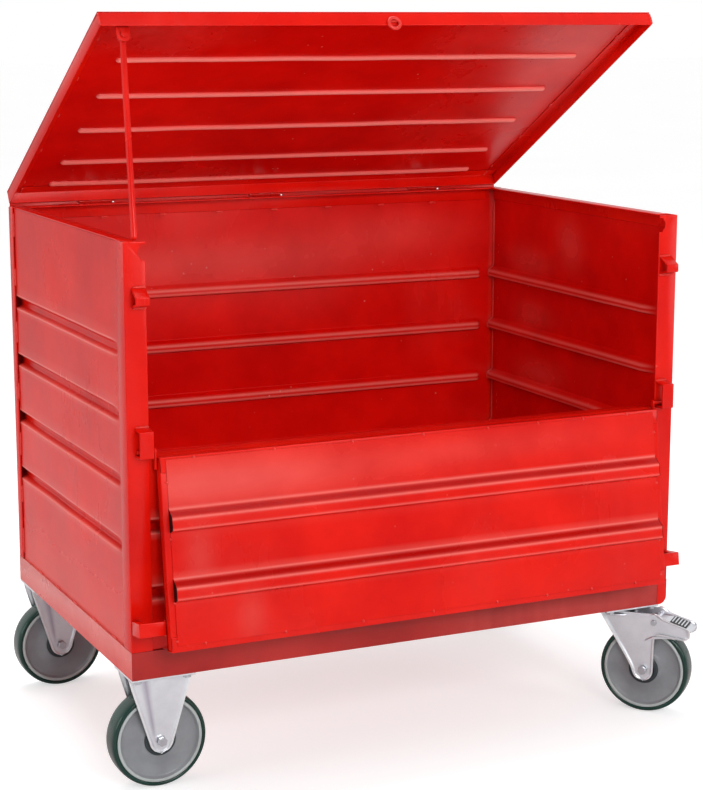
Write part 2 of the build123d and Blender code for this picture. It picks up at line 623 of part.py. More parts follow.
def make_castors():
    for name, (x, y) in castor_centres().items():
        if name in SWIVEL_YAW:
            make_swivel_castor(name, x, y)
        else:
            make_fixed_castor(name, x, y)
    make_kingpins()


# ---- build and export -----------------------------------------------------------------
make_base()
make_walls()
make_posts()
make_rims()
make_flap_brackets()
make_prop_rest()
make_lid()
make_lid_hinges()
make_prop_rod()
make_flap()
make_castors()

extent = Compound([s for shape in NODES.values() for s in shape.solids()]).bounding_box()
origin_x = round((extent.min.X + extent.max.X) / 2, 2)
origin_y = round((extent.min.Y + extent.max.Y) / 2, 2)
print("nodes", len(NODES), "container middle at", (-origin_x, -origin_y))
print("extent", extent)

os.makedirs("parts", exist_ok=True)
for name, shape in NODES.items():
    export_step(Pos(-origin_x, -origin_y) * shape, f"parts/{name}.step")
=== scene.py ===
# %% [markdown]
# # A sheet-steel waste trolley
# The real thing is welded from thin swaged sheet inside a frame of folded angles, then powder
# coated red. A lid leans on a round prop rod, a flap hangs on the front, and four castors carry it.
# The measured model gives every piece its place. This lesson gives each piece its finished shape
# and its surface, and never moves anything.

# %% Load the measured frame
import json
import math

import bmesh
import bpy
import numpy as np
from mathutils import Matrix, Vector

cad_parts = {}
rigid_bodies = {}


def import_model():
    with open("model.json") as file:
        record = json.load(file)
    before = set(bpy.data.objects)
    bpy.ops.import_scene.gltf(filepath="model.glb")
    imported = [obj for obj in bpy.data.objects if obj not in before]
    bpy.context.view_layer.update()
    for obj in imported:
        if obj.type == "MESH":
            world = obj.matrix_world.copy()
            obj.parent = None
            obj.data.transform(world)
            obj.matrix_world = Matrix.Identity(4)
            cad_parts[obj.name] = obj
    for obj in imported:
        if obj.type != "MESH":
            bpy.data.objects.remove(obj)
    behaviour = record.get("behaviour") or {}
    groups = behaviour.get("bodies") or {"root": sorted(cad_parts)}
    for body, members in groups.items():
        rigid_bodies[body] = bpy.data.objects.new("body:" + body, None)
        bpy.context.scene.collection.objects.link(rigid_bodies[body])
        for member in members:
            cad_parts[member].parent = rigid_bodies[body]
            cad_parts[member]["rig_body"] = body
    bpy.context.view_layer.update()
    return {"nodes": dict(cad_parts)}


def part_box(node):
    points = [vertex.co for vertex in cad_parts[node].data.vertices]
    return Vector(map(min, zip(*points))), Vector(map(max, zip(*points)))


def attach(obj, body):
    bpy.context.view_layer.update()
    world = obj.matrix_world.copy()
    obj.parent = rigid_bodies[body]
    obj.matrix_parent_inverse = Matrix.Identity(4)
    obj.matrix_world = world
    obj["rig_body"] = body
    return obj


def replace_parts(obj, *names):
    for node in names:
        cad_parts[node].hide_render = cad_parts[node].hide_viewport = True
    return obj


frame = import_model()
floor_low, floor_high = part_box("floor_sheet")
MIDDLE = np.array([(floor_low.x + floor_high.x) / 2, (floor_low.y + floor_high.y) / 2, 0.0])

# %% [markdown]
# ## Where things are
# All shapes below are laid out in metres about the middle of the container, with the floor at
# nought, and `MIDDLE` moves them into the model's own frame. The lid and the flap are drawn shut
# and then turned about their hinges, as they are in the workshop.

# %% Main sizes
HALF_LENGTH, HALF_WIDTH = 0.625, 0.400
SHEET = 0.002
SHEET_X, SHEET_Y = 0.621, 0.396
FLOOR_TOP = floor_high.z
WALL_LOW, WALL_HIGH = 0.299, 1.106
SWAGE_DEPTH, SWAGE_HEIGHT = 0.015, 0.030
WALL_SWAGES = [0.5035 + 0.131 * i for i in range(4)]
FRONT_SWAGES = [0.416, 0.551]
LID_AXIS, LID_OPEN = (0.408, 1.112), math.radians(30)
FLAP_AXIS, FLAP_SWING = (-0.405, 0.702), math.radians(172)
CASTORS = {
    "front_left": (-0.5575, -0.342, 0.0),
    "rear_left": (-0.5575, 0.342, 0.0),
    "front_right": (0.541, -0.342, math.radians(-48)),
    "rear_right": (0.541, 0.342, math.radians(24)),
}
TRAIL, AXLE_HEIGHT, PLATE_UNDER = 0.065, 0.100, 0.237


def turned_about_x(points, axis, angle):
    """Points turned by angle about a line along X through (y, z): the usual turn of y and z."""
    y, z = points[..., 1] - axis[0], points[..., 2] - axis[1]
    turned_y = axis[0] + y * math.cos(angle) - z * math.sin(angle)
    turned_z = axis[1] + y * math.sin(angle) + z * math.cos(angle)
    return np.stack([points[..., 0], turned_y, turned_z], axis=-1)


def lid_up(points):
    return turned_about_x(points, LID_AXIS, -LID_OPEN)


def flap_down(points):
    return turned_about_x(points, FLAP_AXIS, FLAP_SWING)


def on_castor(name, points):
    """Points drawn round the kingpin, with the wheel trailing along +X, turned to the castor's heading."""
    x, y, yaw = CASTORS[name]
    px = x + points[..., 0] * math.cos(yaw) - points[..., 1] * math.sin(yaw)
    py = y + points[..., 0] * math.sin(yaw) + points[..., 1] * math.cos(yaw)
    return np.stack([px, py, points[..., 2]], axis=-1)


# %% [markdown]
# ## Camera, floor and light
# The camera stands in front and to the left at about eye height. The floor is plain and pale, and
# wide enough to fill the view, so the glossy paint has something calm to mirror.

# %% Camera
EYE = MIDDLE + np.array([-1.8053, -3.9382, 1.5253])
LOOKED_AT = MIDDLE + np.array([0.0385, 0.0, 0.6930])
camera_data = bpy.data.cameras.new("camera")
camera_data.lens, camera_data.sensor_width = 89.9, 36.0
camera_data.clip_end = 200.0
camera = bpy.data.objects.new("camera", camera_data)
camera.location = EYE
camera.rotation_euler = Vector(LOOKED_AT - EYE).to_track_quat("-Z", "Y").to_euler()
bpy.context.scene.collection.objects.link(camera)
bpy.context.scene.camera = camera
bpy.context.scene.view_settings.view_transform = "Standard"
print("camera at", EYE.round(3))


# %% Small tools for materials
def node(tree, kind, inputs=None, **settings):
    """Adds one shader node. An input given a socket is linked, and any other value is set."""
    made = tree.nodes.new("ShaderNode" + kind)
    for key, value in settings.items():
        setattr(made, key, value)
    for key, value in (inputs or {}).items():
        if isinstance(value, bpy.types.NodeSocket):
            tree.links.new(value, made.inputs[key])
        else:
            made.inputs[key].default_value = value
    return made


def new_material(name):
    """An empty material with its tree, its output node and the object's own coordinates."""
    material = bpy.data.materials.new(name)
    material.use_nodes = True
    tree = material.node_tree
    tree.nodes.clear()
    output = tree.nodes.new("ShaderNodeOutputMaterial")
    place = tree.nodes.new("ShaderNodeTexCoord").outputs["Object"]
    return material, tree, output, place


def ramp(tree, factor, stops):
    """A smooth curve from 0..1 to colours or greys, given as (place, value) stops."""
    made = node(tree, "ValToRGB", {"Fac": factor})
    elements = made.color_ramp.elements
    while len(elements) < len(stops):
        elements.new(0.5)
    for element, (where, value) in zip(elements, stops):
        element.position = where
        element.color = (value, value, value, 1) if isinstance(value, (int, float)) else (*value, 1)
    return made.outputs["Color"]


def mixed(tree, factor, a, b, blend="MIX"):
    """Colour a turned into colour b by factor."""
    return node(tree, "Mix", {"Factor": factor, 6: a, 7: b}, data_type="RGBA", blend_type=blend).outputs[2]


def sum_of(tree, operation, a, b, clamp=False):
    """a and b through one Math node. MULTIPLY_ADD gives a times b plus b."""
    return node(tree, "Math", {0: a, 1: b, 2: b}, operation=operation, use_clamp=clamp).outputs[0]


def times(tree, a, b):
    return sum_of(tree, "MULTIPLY", a, b)


def in_corners(tree, reach, stops):
    """A mask that is strongest where neighbouring faces within reach shut a point in."""
    shut_in = node(tree, "AmbientOcclusion", {"Distance": reach}, samples=6).outputs["AO"]
    return ramp(tree, shut_in, stops)


def skin_of(tree, marks, strength, depth):
    """The surface normal tilted by the fine grain of the skin."""
    return node(tree, "Bump", {"Height": marks["Grain"], "Strength": strength,
                               "Distance": depth}).outputs["Normal"]


# %% Floor and lights
FLOOR_GLOW, FLOOR_HALF = 0.55, 60.0


def make_floor():
    """A flat square of floor, wide enough to reach the horizon. To the camera alone it glows a little."""
    corners = [(x * FLOOR_HALF, y * FLOOR_HALF, 0) for x, y in ((-1, -1), (1, -1), (1, 1), (-1, 1))]
    mesh = bpy.data.meshes.new("floor")
    mesh.from_pydata(corners, [], [(0, 1, 2, 3)])
    floor = bpy.data.objects.new("floor", mesh)
    bpy.context.scene.collection.objects.link(floor)
    material, tree, output, place = new_material("pale_floor")
    tone = node(tree, "TexNoise", {"Vector": place, "Scale": 0.8}).outputs["Fac"]
    seen = tree.nodes.new("ShaderNodeLightPath").outputs["Is Camera Ray"]
    shader = node(tree, "BsdfPrincipled", {
        "Base Color": ramp(tree, tone, [(0.3, 0.66), (0.7, 0.69)]), "Roughness": 0.8,
        "Specular IOR Level": 0.1, "Emission Color": (1, 1, 1, 1),
        "Emission Strength": sum_of(tree, "MULTIPLY", seen, FLOOR_GLOW)})
    tree.links.new(shader.outputs[0], output.inputs["Surface"])
    mesh.materials.append(material)


def area_light(name, place, target, width, height, power):
    """A soft white rectangle of light, aimed from place at target."""
    light = bpy.data.lights.new(name, "AREA")
    light.shape, light.size, light.size_y = "RECTANGLE", width, height
    light.energy = power
    lamp = bpy.data.objects.new(name, light)
    lamp.location = MIDDLE + np.array(place)
    aim = Vector(MIDDLE + np.array(target)) - lamp.location
    lamp.rotation_euler = aim.to_track_quat("-Z", "Y").to_euler()
    bpy.context.scene.collection.objects.link(lamp)


def make_room():
    """The light all round: dim in front, brighter behind, and plain white where the camera sees it."""
    world = bpy.data.worlds.new("white_room")
    world.use_nodes = True
    sky = world.node_tree
    direction = sky.nodes.new("ShaderNodeTexCoord").outputs["Generated"]
    depth = node(sky, "SeparateXYZ", {"Vector": direction}).outputs["Y"]
    brightness = ramp(sky, sum_of(sky, "MULTIPLY_ADD", depth, 0.5), [(0.20, 0.34), (0.60, 0.80)])
    to_camera = sky.nodes.new("ShaderNodeLightPath").outputs["Is Camera Ray"]
    brightness = mixed(sky, to_camera, brightness, (1.0, 1.0, 1.0, 1))
    sky.links.new(brightness, sky.nodes["Background"].inputs["Color"])
    sky.nodes["Background"].inputs["Strength"].default_value = 1.0
    bpy.context.scene.world = world


make_floor()
make_room()
area_light("key", (-0.3, -4.6, 2.5), (0.0, 0.0, 0.8), 2.4, 1.8, 105)
area_light("left_side", (-4.0, -0.6, 1.4), (-0.6, 0.0, 0.6), 1.4, 1.4, 22)
area_light("right_fill", (3.0, -3.4, 1.8), (0.0, 0.2, 0.8), 1.0, 1.6, 22)
area_light("above", (0.0, 1.6, 5.0), (0.0, 0.8, 0.0), 4.0, 3.0, 120)
print("floor and lights are in place")

# %% [markdown]
# ## Finishes
# One node group describes what age and handling do to any coated surface: slow blotches, faint
# vertical streaks, small specks, and the fine pebbly skin of a sprayed coat. Each material takes
# those masks and decides how much of each it shows.


# %% What every surface shares
def make_wear_group():
    """Masks from 0 to 1: blotches and streaks are soft noise, specks are the middles of Voronoi cells."""
    tree = bpy.data.node_groups.new("surface_life", "ShaderNodeTree")
    tree.interface.new_socket("Vector", in_out="INPUT", socket_type="NodeSocketVector")
    for label in ("Blotch Scale", "Grain Scale", "Speck Scale"):
        tree.interface.new_socket(label, in_out="INPUT", socket_type="NodeSocketFloat")
    for label in ("Blotch", "Streak", "Speck", "Grain", "Cloud"):
        tree.interface.new_socket(label, in_out="OUTPUT", socket_type="NodeSocketFloat")
    given, result = tree.nodes.new("NodeGroupInput"), tree.nodes.new("NodeGroupOutput")
    where = given.outputs["Vector"]
    blotch = node(tree, "TexNoise", {"Vector": where, "Scale": given.outputs["Blotch Scale"],
                                     "Detail": 5.0, "Roughness": 0.58}).outputs["Fac"]
    cloud = node(tree, "TexNoise", {"Vector": where, "Scale": 1.9, "Detail": 2.0}).outputs["Fac"]
    tall = node(tree, "Mapping", {"Vector": where, "Scale": (1.0, 1.0, 0.12)}).outputs["Vector"]
    streak = node(tree, "TexNoise", {"Vector": tall, "Scale": 34.0, "Detail": 4.0}).outputs["Fac"]
    cells = node(tree, "TexVoronoi", {"Vector": where,
                                      "Scale": given.outputs["Speck Scale"]}).outputs["Distance"]
    rare = node(tree, "TexNoise", {"Vector": where, "Scale": 9.0, "Detail": 3.0}).outputs["Fac"]
    dot = ramp(tree, cells, [(0.04, 1.0), (0.11, 0.0)])
    where_rare = ramp(tree, rare, [(0.56, 0.0), (0.66, 1.0)])
    speck = sum_of(tree, "MULTIPLY", dot, where_rare)
    grain = node(tree, "TexNoise", {"Vector": where, "Scale": given.outputs["Grain Scale"],
                                    "Detail": 2.0}).outputs["Fac"]
    for label, value in (("Blotch", blotch), ("Streak", streak), ("Speck", speck), ("Grain", grain),
                         ("Cloud", cloud)):
        tree.links.new(value, result.inputs[label])
    return tree


WEAR_GROUP = make_wear_group()


def wear(tree, place, blotch=5.0, grain=420.0, speck=38.0):
    """The masks of the shared group, with the size of each pattern given in waves or cells a metre."""
    made = node(tree, "Group", node_tree=WEAR_GROUP)
    tree.links.new(place, made.inputs["Vector"])
    made.inputs["Blotch Scale"].default_value = blotch
    made.inputs["Grain Scale"].default_value = grain
    made.inputs["Speck Scale"].default_value = speck
    return made.outputs


# %% [markdown]
# Powder coat is a thick glossy plastic skin on steel. Its colour is even, but its gloss is not:
# handling leaves hazy patches, and a few dust specks show. Shade is painted into the corners,
# found with an occlusion node, which darkens a point by how much its neighbours shut it in. Pale
# patches that a shape carries are painted reflection, and painted highlights lie along the bends
# of a pressed sheet, where the shape itself says they are.


# %% Red powder coat
# Pale pink for haze and painted reflection, a bright pink for painted highlights on bends, pink for dust
# specks, and two reds for painted shade: on ridge slopes and in corners.
HAZE_AND_SHEEN_PINK, HIGHLIGHT_PINK, DUST_PINK = (0.82, 0.14, 0.12, 1), (0.98, 0.26, 0.22, 1), (0.75, 0.32, 0.28, 1)
SLOPE_RED, CORNER_SHADE_RED = (0.30, 0.001, 0.001, 1), (0.14, 0.004, 0.003, 1)


def painted(tree, name):
    """A mask that the shape itself carries at its points, and nought on shapes without it."""
    return node(tree, "Attribute", attribute_name=name).outputs["Fac"]


def powder_coat(name, deep, bright, haze, dust, roughness, gloss):
    """Colour runs from deep to bright with the blotches; haze and painted reflection pale and roughen it,
    then come painted shade on slopes, painted highlights on bends, dust, and painted shade in corners.
    """
    material, tree, output, place = new_material(name)
    marks = wear(tree, place)
    colour = mixed(tree, ramp(tree, marks["Blotch"], [(0.32, 0.0), (0.68, 1.0)]), (*deep, 1), (*bright, 1))
    pale_patches = times(tree, ramp(tree, marks["Cloud"], [(0.48, 0.0), (0.72, 1.0)]),
                 ramp(tree, marks["Streak"], [(0.30, 0.35), (0.75, 1.0)]))
    # The shape's own sheen mask paints reflection as pale pink patches, on top of the random haze.
    sheen_patches = times(tree, painted(tree, "haze"), ramp(tree, marks["Blotch"], [(0.25, 0.55), (0.75, 1.0)]))
    pale_patches = sum_of(tree, "MAXIMUM", pale_patches, sheen_patches)
    pale = sum_of(tree, "MAXIMUM", times(tree, pale_patches, haze), sheen_patches)
    # In turn: haze and painted reflection, painted shade on slopes, painted highlights on bends, dust specks,
    # and painted shade in corners.
    for mask, tone in (
        (pale, HAZE_AND_SHEEN_PINK),
        (times(tree, painted(tree, "shade"), 0.6), SLOPE_RED),
        (painted(tree, "crest"), HIGHLIGHT_PINK),
        (times(tree, marks["Speck"], dust), DUST_PINK),
        (in_corners(tree, 0.018, [(0.15, 0.55), (0.75, 0.0)]), CORNER_SHADE_RED),
    ):
        colour = mixed(tree, mask, colour, tone)
    rough = sum_of(tree, "ADD", roughness, times(tree, pale_patches, 0.22))
    rough = sum_of(tree, "ADD", rough, times(tree, marks["Blotch"], 0.10), clamp=True)
    shader = node(tree, "BsdfPrincipled", {
        "Base Color": colour, "Roughness": rough, "Normal": skin_of(tree, marks, 0.10, 0.0006),
        "IOR": 1.45, "Specular IOR Level": gloss})
    tree.links.new(shader.outputs[0], output.inputs["Surface"])
    return material


RED = powder_coat(
    "red_powder_coat", (0.66, 0.003, 0.001), (0.84, 0.009, 0.002), 0.08, 0.25, 0.20, 0.26)
RED_INSIDE = powder_coat(
    "red_powder_coat_inside", (0.62, 0.002, 0.001), (0.84, 0.005, 0.002), 0.20, 0.75, 0.18, 0.28)
RED_WELD = powder_coat(
    "red_powder_coat_on_weld", (0.70, 0.012, 0.008), (0.86, 0.05, 0.035), 0.30, 0.4, 0.26, 0.5)
# A paler, pinker red for the base end rails.
RED_PALE_PINK = powder_coat(
    "red_powder_coat_pale_pink", (0.74, 0.07, 0.06), (0.84, 0.15, 0.13), 0.40, 0.3, 0.22, 0.5)
# A darker red for the long base rails: painted shade from the flap above them, with more haze.
RED_BASE_SHADED = powder_coat(
    "red_powder_coat_low_shaded", (0.34, 0.014, 0.011), (0.50, 0.022, 0.018), 0.40, 0.3, 0.30, 0.4)
# A near-black red that paints the shade inside the open ends of the flap's ridges.
MOUTH_SHADOW = powder_coat(
    "red_powder_coat_in_shadow", (0.012, 0.001, 0.001), (0.022, 0.001, 0.001), 0.0, 0.1, 0.6, 0.1)
print("the red coats are ready")

# %% [markdown]
# The castors are pressed steel with bright zinc plate. Zinc is a metal, so its colour is in its
# mirror: pale grey, a little blue, with crystals and rubbed patches that change how sharp it is.


# %% Zinc, wheel plastics and rubber
# A grey for crystal cells, a violet grey for painted shade along a fork leg's bend, white for a painted
# highlight on its rim, and a dark grey for painted shade in corners.
CRYSTAL_GREY, CREASE_SHADE_GREY = (0.62, 0.64, 0.70, 1), (0.36, 0.31, 0.42, 1)
RIM_HIGHLIGHT_WHITE, CORNER_SHADE_GREY = (0.97, 0.98, 1.0, 1), (0.16, 0.15, 0.16, 1)


def zinc_plate(name, tone, roughness):
    """Pale metal: crystal cells vary the tone by a few percent, and blotches vary the roughness."""
    material, tree, output, place = new_material(name)
    marks = wear(tree, place, blotch=22.0, grain=900.0)
    crystals = node(tree, "TexVoronoi", {"Vector": place, "Scale": 260.0}).outputs["Color"]
    crystal_tone = node(tree, "RGBToBW", {"Color": crystals}).outputs[0]
    dark = tuple(0.86 * c for c in tone)
    colour = mixed(tree, ramp(tree, marks["Blotch"], [(0.3, 0.0), (0.75, 1.0)]), (*tone, 1), (*dark, 1))
    # Crystal cells vary the tone; then come the painted shade along the bend, the painted highlight on the
    # rim, and the painted shade in corners.
    for mask, shade in (
        (times(tree, crystal_tone, 0.10), CRYSTAL_GREY),
        (times(tree, painted(tree, "crease"), 0.7), CREASE_SHADE_GREY),
        (painted(tree, "rim"), RIM_HIGHLIGHT_WHITE),
        (in_corners(tree, 0.012, [(0.1, 0.6), (0.7, 0.0)]), CORNER_SHADE_GREY),
    ):
        colour = mixed(tree, mask, colour, shade)
    rough = sum_of(tree, "ADD", roughness, times(tree, marks["Blotch"], 0.16))
    shader = node(tree, "BsdfPrincipled", {
        "Base Color": colour, "Metallic": 0.92, "Roughness": rough,
        "Normal": skin_of(tree, marks, 0.06, 0.0004)})
    tree.links.new(shader.outputs[0], output.inputs["Surface"])
    return material


def moulded(name, light, dark, roughness, gloss=0.0, bump=0.08, mirror=0.5):
    """A moulded plastic or rubber: tone blotches between two colours, specks of dust, a fine skin."""
    material, tree, output, place = new_material(name)
    marks = wear(tree, place, blotch=16.0, grain=700.0, speck=120.0)
    colour = mixed(tree, ramp(tree, marks["Blotch"], [(0.3, 0.0), (0.7, 1.0)]), (*dark, 1), (*light, 1))
    pale = tuple(min(1.0, c * 0.6 + 0.25) for c in light)
    shade = tuple(c * 0.35 for c in dark)
    colour = mixed(tree, times(tree, marks["Speck"], 0.5), colour, (*pale, 1))
    # Painted shade darkens the corners.
    colour = mixed(tree, in_corners(tree, 0.012, [(0.15, 0.7), (0.8, 0.0)]), colour, (*shade, 1))
    rough = sum_of(tree, "ADD", roughness, times(tree, marks["Streak"], 0.12))
    shader = node(tree, "BsdfPrincipled", {
        "Base Color": colour, "Roughness": rough, "Normal": skin_of(tree, marks, bump, 0.0005),
        "Coat Weight": gloss, "Coat Roughness": 0.08, "Specular IOR Level": mirror})
    tree.links.new(shader.outputs[0], output.inputs["Surface"])
    return material


ZINC = zinc_plate("bright_zinc", (0.90, 0.92, 0.97), 0.30)
BOLT_STEEL = zinc_plate("bolt_steel", (0.60, 0.61, 0.65), 0.22)
WHEEL_GREY = moulded("wheel_grey_plastic", (0.30, 0.31, 0.33), (0.22, 0.225, 0.24), 0.34, 0.15)
WHEEL_LIP = moulded("wheel_lip_plastic", (0.50, 0.54, 0.53), (0.42, 0.45, 0.45), 0.34, 0.15)
GREEN = moulded(
    "green_tread_rubber", (0.006, 0.045, 0.032), (0.003, 0.026, 0.019), 0.16, 0.15, 0.04, 0.4)
DARK = moulded("dark_hub_plastic", (0.030, 0.042, 0.046), (0.018, 0.026, 0.030), 0.38)
GRIP = moulded("black_grip_rubber", (0.050, 0.050, 0.052), (0.028, 0.028, 0.030), 0.6)
print("castor finishes are ready")

# %% [markdown]
# ## Making shapes from arrays
# A pressed sheet or a wheel is a surface over two parameters, so it is worked out as one array of
# points and handed to the mesh in one go. Bars that are already right are taken from the measured
# model, cleaned, and given the small edge radius that every folded or sawn edge has.


# %% Small tools for shapes
def link(mesh, name, material, body):
    """Puts a finished mesh into the scene with its material and the body it rides on."""
    mesh.materials.append(material)
    piece = bpy.data.objects.new(name, mesh)
    bpy.context.scene.collection.objects.link(piece)
    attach(piece, body)
    return piece


def grid_mesh(name, points, around=False, facing=None):
    """A mesh of quads over a grid of points; around joins the last row of the first axis to the first.
    With facing, the faces are turned so that they look that way on average."""
    rows, columns = points.shape[:2]
    ids = np.arange(rows * columns).reshape(rows, columns)
    if around:
        ids = np.vstack([ids, ids[:1]])
    quads = np.stack([ids[:-1, :-1], ids[1:, :-1], ids[1:, 1:], ids[:-1, 1:]], axis=-1).reshape(-1, 4)
    flat = (points + MIDDLE).reshape(-1, 3)
    if facing is not None:
        a, b, c = flat[quads[:, 0]], flat[quads[:, 1]], flat[quads[:, 2]]
        if (np.cross(b - a, c - a).sum(axis=0) @ np.array(facing)) < 0:
            quads = quads[:, ::-1]
    mesh = bpy.data.meshes.new(name)
    mesh.from_pydata(flat.tolist(), [], quads.tolist())
    mesh.polygons.foreach_set("use_smooth", np.ones(len(quads), bool))
    mesh.update()
    return mesh


def paint(mesh, **masks):
    """Stores masks from 0 to 1 at the points of a grid, for the paint to read by name."""
    for name, values in masks.items():
        layer = mesh.attributes.new(name, "FLOAT", "POINT")
        layer.data.foreach_set("value", np.clip(values, 0, 1).astype(np.float32).ravel())


def closed_up(mesh, distance=2e-6, outwards=True):
    """Merges doubled points, as at poles and seams, and turns every face of a closed shape outwards."""
    work = bmesh.new()
    work.from_mesh(mesh)
    bmesh.ops.remove_doubles(work, verts=work.verts, dist=distance)
    if outwards:
        bmesh.ops.recalc_face_normals(work, faces=work.faces)
    work.to_mesh(mesh)
    work.free()
    mesh.polygons.foreach_set("use_smooth", np.ones(len(mesh.polygons), bool))
    return mesh


def prism_faces(count, start=0):
    """Faces between two rings of count points, numbered from start, and a cap over each ring."""
    ids = start + np.arange(count)
    after = np.roll(ids, -1)
    sides = np.stack([ids, after, after + count, ids + count], -1).tolist()
    return sides + [ids[::-1].tolist(), (ids + count).tolist()]


def tube_faces(around, steps, start=0):
    """Quads over a grid of around by steps points, numbered from start and joined round the first axis."""
    ids = np.arange(around * steps).reshape(around, steps) + start
    ids = np.vstack([ids, ids[:1]])
    return np.stack([ids[:-1, :-1], ids[1:, :-1], ids[1:, 1:], ids[:-1, 1:]], -1).reshape(-1, 4)


def drawn_mesh(name, points, faces):
    """A mesh from points laid out about the container's middle."""
    mesh = bpy.data.meshes.new(name)
    mesh.from_pydata((np.array(points) + MIDDLE).tolist(), [], faces)
    return mesh


def round_edges(piece, width, segments=2, angle=34):
    """A Bevel modifier on every edge sharper than angle, so that edges catch the light."""
    bevel = piece.modifiers.new("rounded_edges", "BEVEL")
    bevel.width, bevel.segments = width, segments
    bevel.limit_method, bevel.angle_limit = "ANGLE", math.radians(angle)
    bevel.harden_normals = True
    return piece


def thicken(piece, thickness):
    """A Solidify modifier that adds thickness behind the face that was drawn, with a fine bevel."""
    wall = piece.modifiers.new("sheet_thickness", "SOLIDIFY")
    wall.thickness, wall.offset = thickness, -1.0
    return round_edges(piece, 0.0005, 1, 60)


def softened(node_name, material, width):
    """Stands for a measured node: its mesh is merged, its flat faces joined and its edges rounded."""
    source = frame["nodes"][node_name]
    mesh = bpy.data.meshes.new(node_name + "_finished")
    work = bmesh.new()
    work.from_mesh(source.data)
    bmesh.ops.remove_doubles(work, verts=work.verts, dist=5e-6)
    bmesh.ops.dissolve_limit(work, angle_limit=math.radians(0.6), verts=work.verts, edges=work.edges)
    work.to_mesh(mesh)
    work.free()
    mesh.polygons.foreach_set("use_smooth", np.ones(len(mesh.polygons), bool))
    piece = link(mesh, mesh.name, material, source["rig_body"])
    if width:
        round_edges(piece, width)
    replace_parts(piece, node_name)


def ease(t):
    """Nought below 0, one above 1, and 3t squared less 2t cubed between."""
    t = np.clip(t, 0.0, 1.0)
    return t * t * (3 - 2 * t)


# %% [markdown]
# ## Swaged sheets
# Every wall is thin sheet with long ridges pressed into it for stiffness. A ridge is steep on its
# lower side and eases off gently on its upper side, and it dies out before the folded front edge.
# Thin sheet is never quite flat after welding, so a slow wave of under a millimetre is added.


# %% The pressed profile
BEND_WIDTH = 0.0028


def swage(level, centres, height, steep=0.006, gentle=0.014):
    """One on a ridge's crest and nought off it: a steep ease on its lower side, a gentle one above."""
    rise = np.zeros_like(level)
    for centre in centres:
        up = ease((level - (centre - height / 2)) / steep)
        down = ease(((centre + height / 2) - level) / gentle)
        rise = np.maximum(rise, up * down)
    return rise


def spread(low, high, centres, height, step):
    """Levels from low to high: a coarse step on the flat, and a fine one across each ridge."""
    parts = [np.arange(low, high, step), [high]]
    parts += [np.arange(c - height / 2 - 0.003, c + height / 2 + 0.004, 0.0014) for c in centres]
    levels = np.unique(np.concatenate(parts).round(5))
    return levels[(levels >= low) & (levels <= high)]


def buckle(along, level, size, seed):
    """A slow wave in thin sheet: three products of sines with lengths of a quarter to a half metre."""
    rng = np.random.default_rng(seed)
    total = np.zeros(np.broadcast(along, level).shape)
    for length in (0.52, 0.37, 0.26):
        a, b = rng.uniform(0, 2 * np.pi, 2)
        total += np.sin(2 * np.pi * along / length + a) * np.sin(2 * np.pi * level / (0.8 * length) + b)
    return size * total / 2


def edge_window(value, low, high, margin):
    """One in the middle of a range, easing to nought over margin at both ends."""
    return ease((value - low) / margin) * ease((high - value) / margin)


def bell(value, middle, width):
    """A bell curve: one at the middle, and e to the minus one at one width from it."""
    return np.exp(-((value - middle) / width) ** 2)


def bend_lines(level, centres, height, steep=0.006, gentle=0.014):
    """Thin bell curves over the bends of each ridge: the two outer ones, and the two at its crest."""
    outer, inner = np.zeros_like(level), np.zeros_like(level)
    for centre in centres:
        foot, brow = centre - height / 2, centre + height / 2
        outer = np.maximum(outer, np.maximum(bell(level, foot, BEND_WIDTH), bell(level, brow, BEND_WIDTH)))
        inner = np.maximum(inner, np.maximum(bell(level, foot + steep, BEND_WIDTH),
                                             bell(level, brow - gentle, BEND_WIDTH)))
    return outer, inner


def swaged_wall(name, cad_node, material, span, heights, centres, place, facing, ends, seed, wave=0.0007,
                haze=None):
    """Depth = ridge depth times swage(level) times how far the ridge has risen from each end, plus buckle.
    ends gives, for the low and the high end, where the ridge starts and over what length it rises."""
    low, high = heights
    along = np.unique(np.concatenate([np.linspace(*span, 46), np.linspace(span[0], span[0] + 0.11, 22),
                                      np.linspace(span[1] - 0.11, span[1], 22)]).round(5))
    level = spread(low, high, centres, SWAGE_HEIGHT, 0.022)
    a, z = np.meshgrid(along, level, indexing="ij")
    risen = np.ones_like(a)
    for end, inwards in zip(ends, (a - span[0], span[1] - a)):
        if end:
            risen *= ease((inwards - end[0]) / end[1])
    depth = SWAGE_DEPTH * swage(z, centres, SWAGE_HEIGHT) * risen
    depth += buckle(a, z, wave, seed) * edge_window(a, *span, 0.06) * edge_window(z, low, high, 0.05)
    piece = link(grid_mesh(name, place(a, depth, z), facing=facing), name, material, "container")
    # Painted highlights: pale lines on the outer bends of the outside wall and on the crest bends of the
    # inside walls, fading where the ridges die out; the sheen function paints pale reflection.
    outer, inner = bend_lines(z, centres, SWAGE_HEIGHT)
    lines = (outer if material is RED else inner) * risen
    paint(piece.data, crest=0.55 * lines, haze=haze(a, z) if haze else np.zeros_like(a))
    thicken(piece, SHEET)
    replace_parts(piece, cad_node)
    print(name, "has", len(along), "by", len(level), "points")


# %% The four walls
def soft_spot(a, z, middle, reach):
    """A round-edged patch: one at its middle, falling as a bell curve over its reach both ways."""
    return bell(a, middle[0], reach[0]) * bell(z, middle[1], reach[1])


def rear_haze(a, z):
    """Painted reflection: two wide pale patches in the top band."""
    return (0.42 * soft_spot(a, z, (-0.15, 0.957), (0.42, 0.055))
            + 0.25 * soft_spot(a, z, (0.35, 1.012), (0.20, 0.05)))


def left_haze(a, z):
    """Painted reflection: a pale band along the bottom and one along the front fold."""
    return 0.50 * (1 - ease((z - 0.30) / 0.14)) + 0.22 * (1 - ease((a + 0.40) / 0.12))


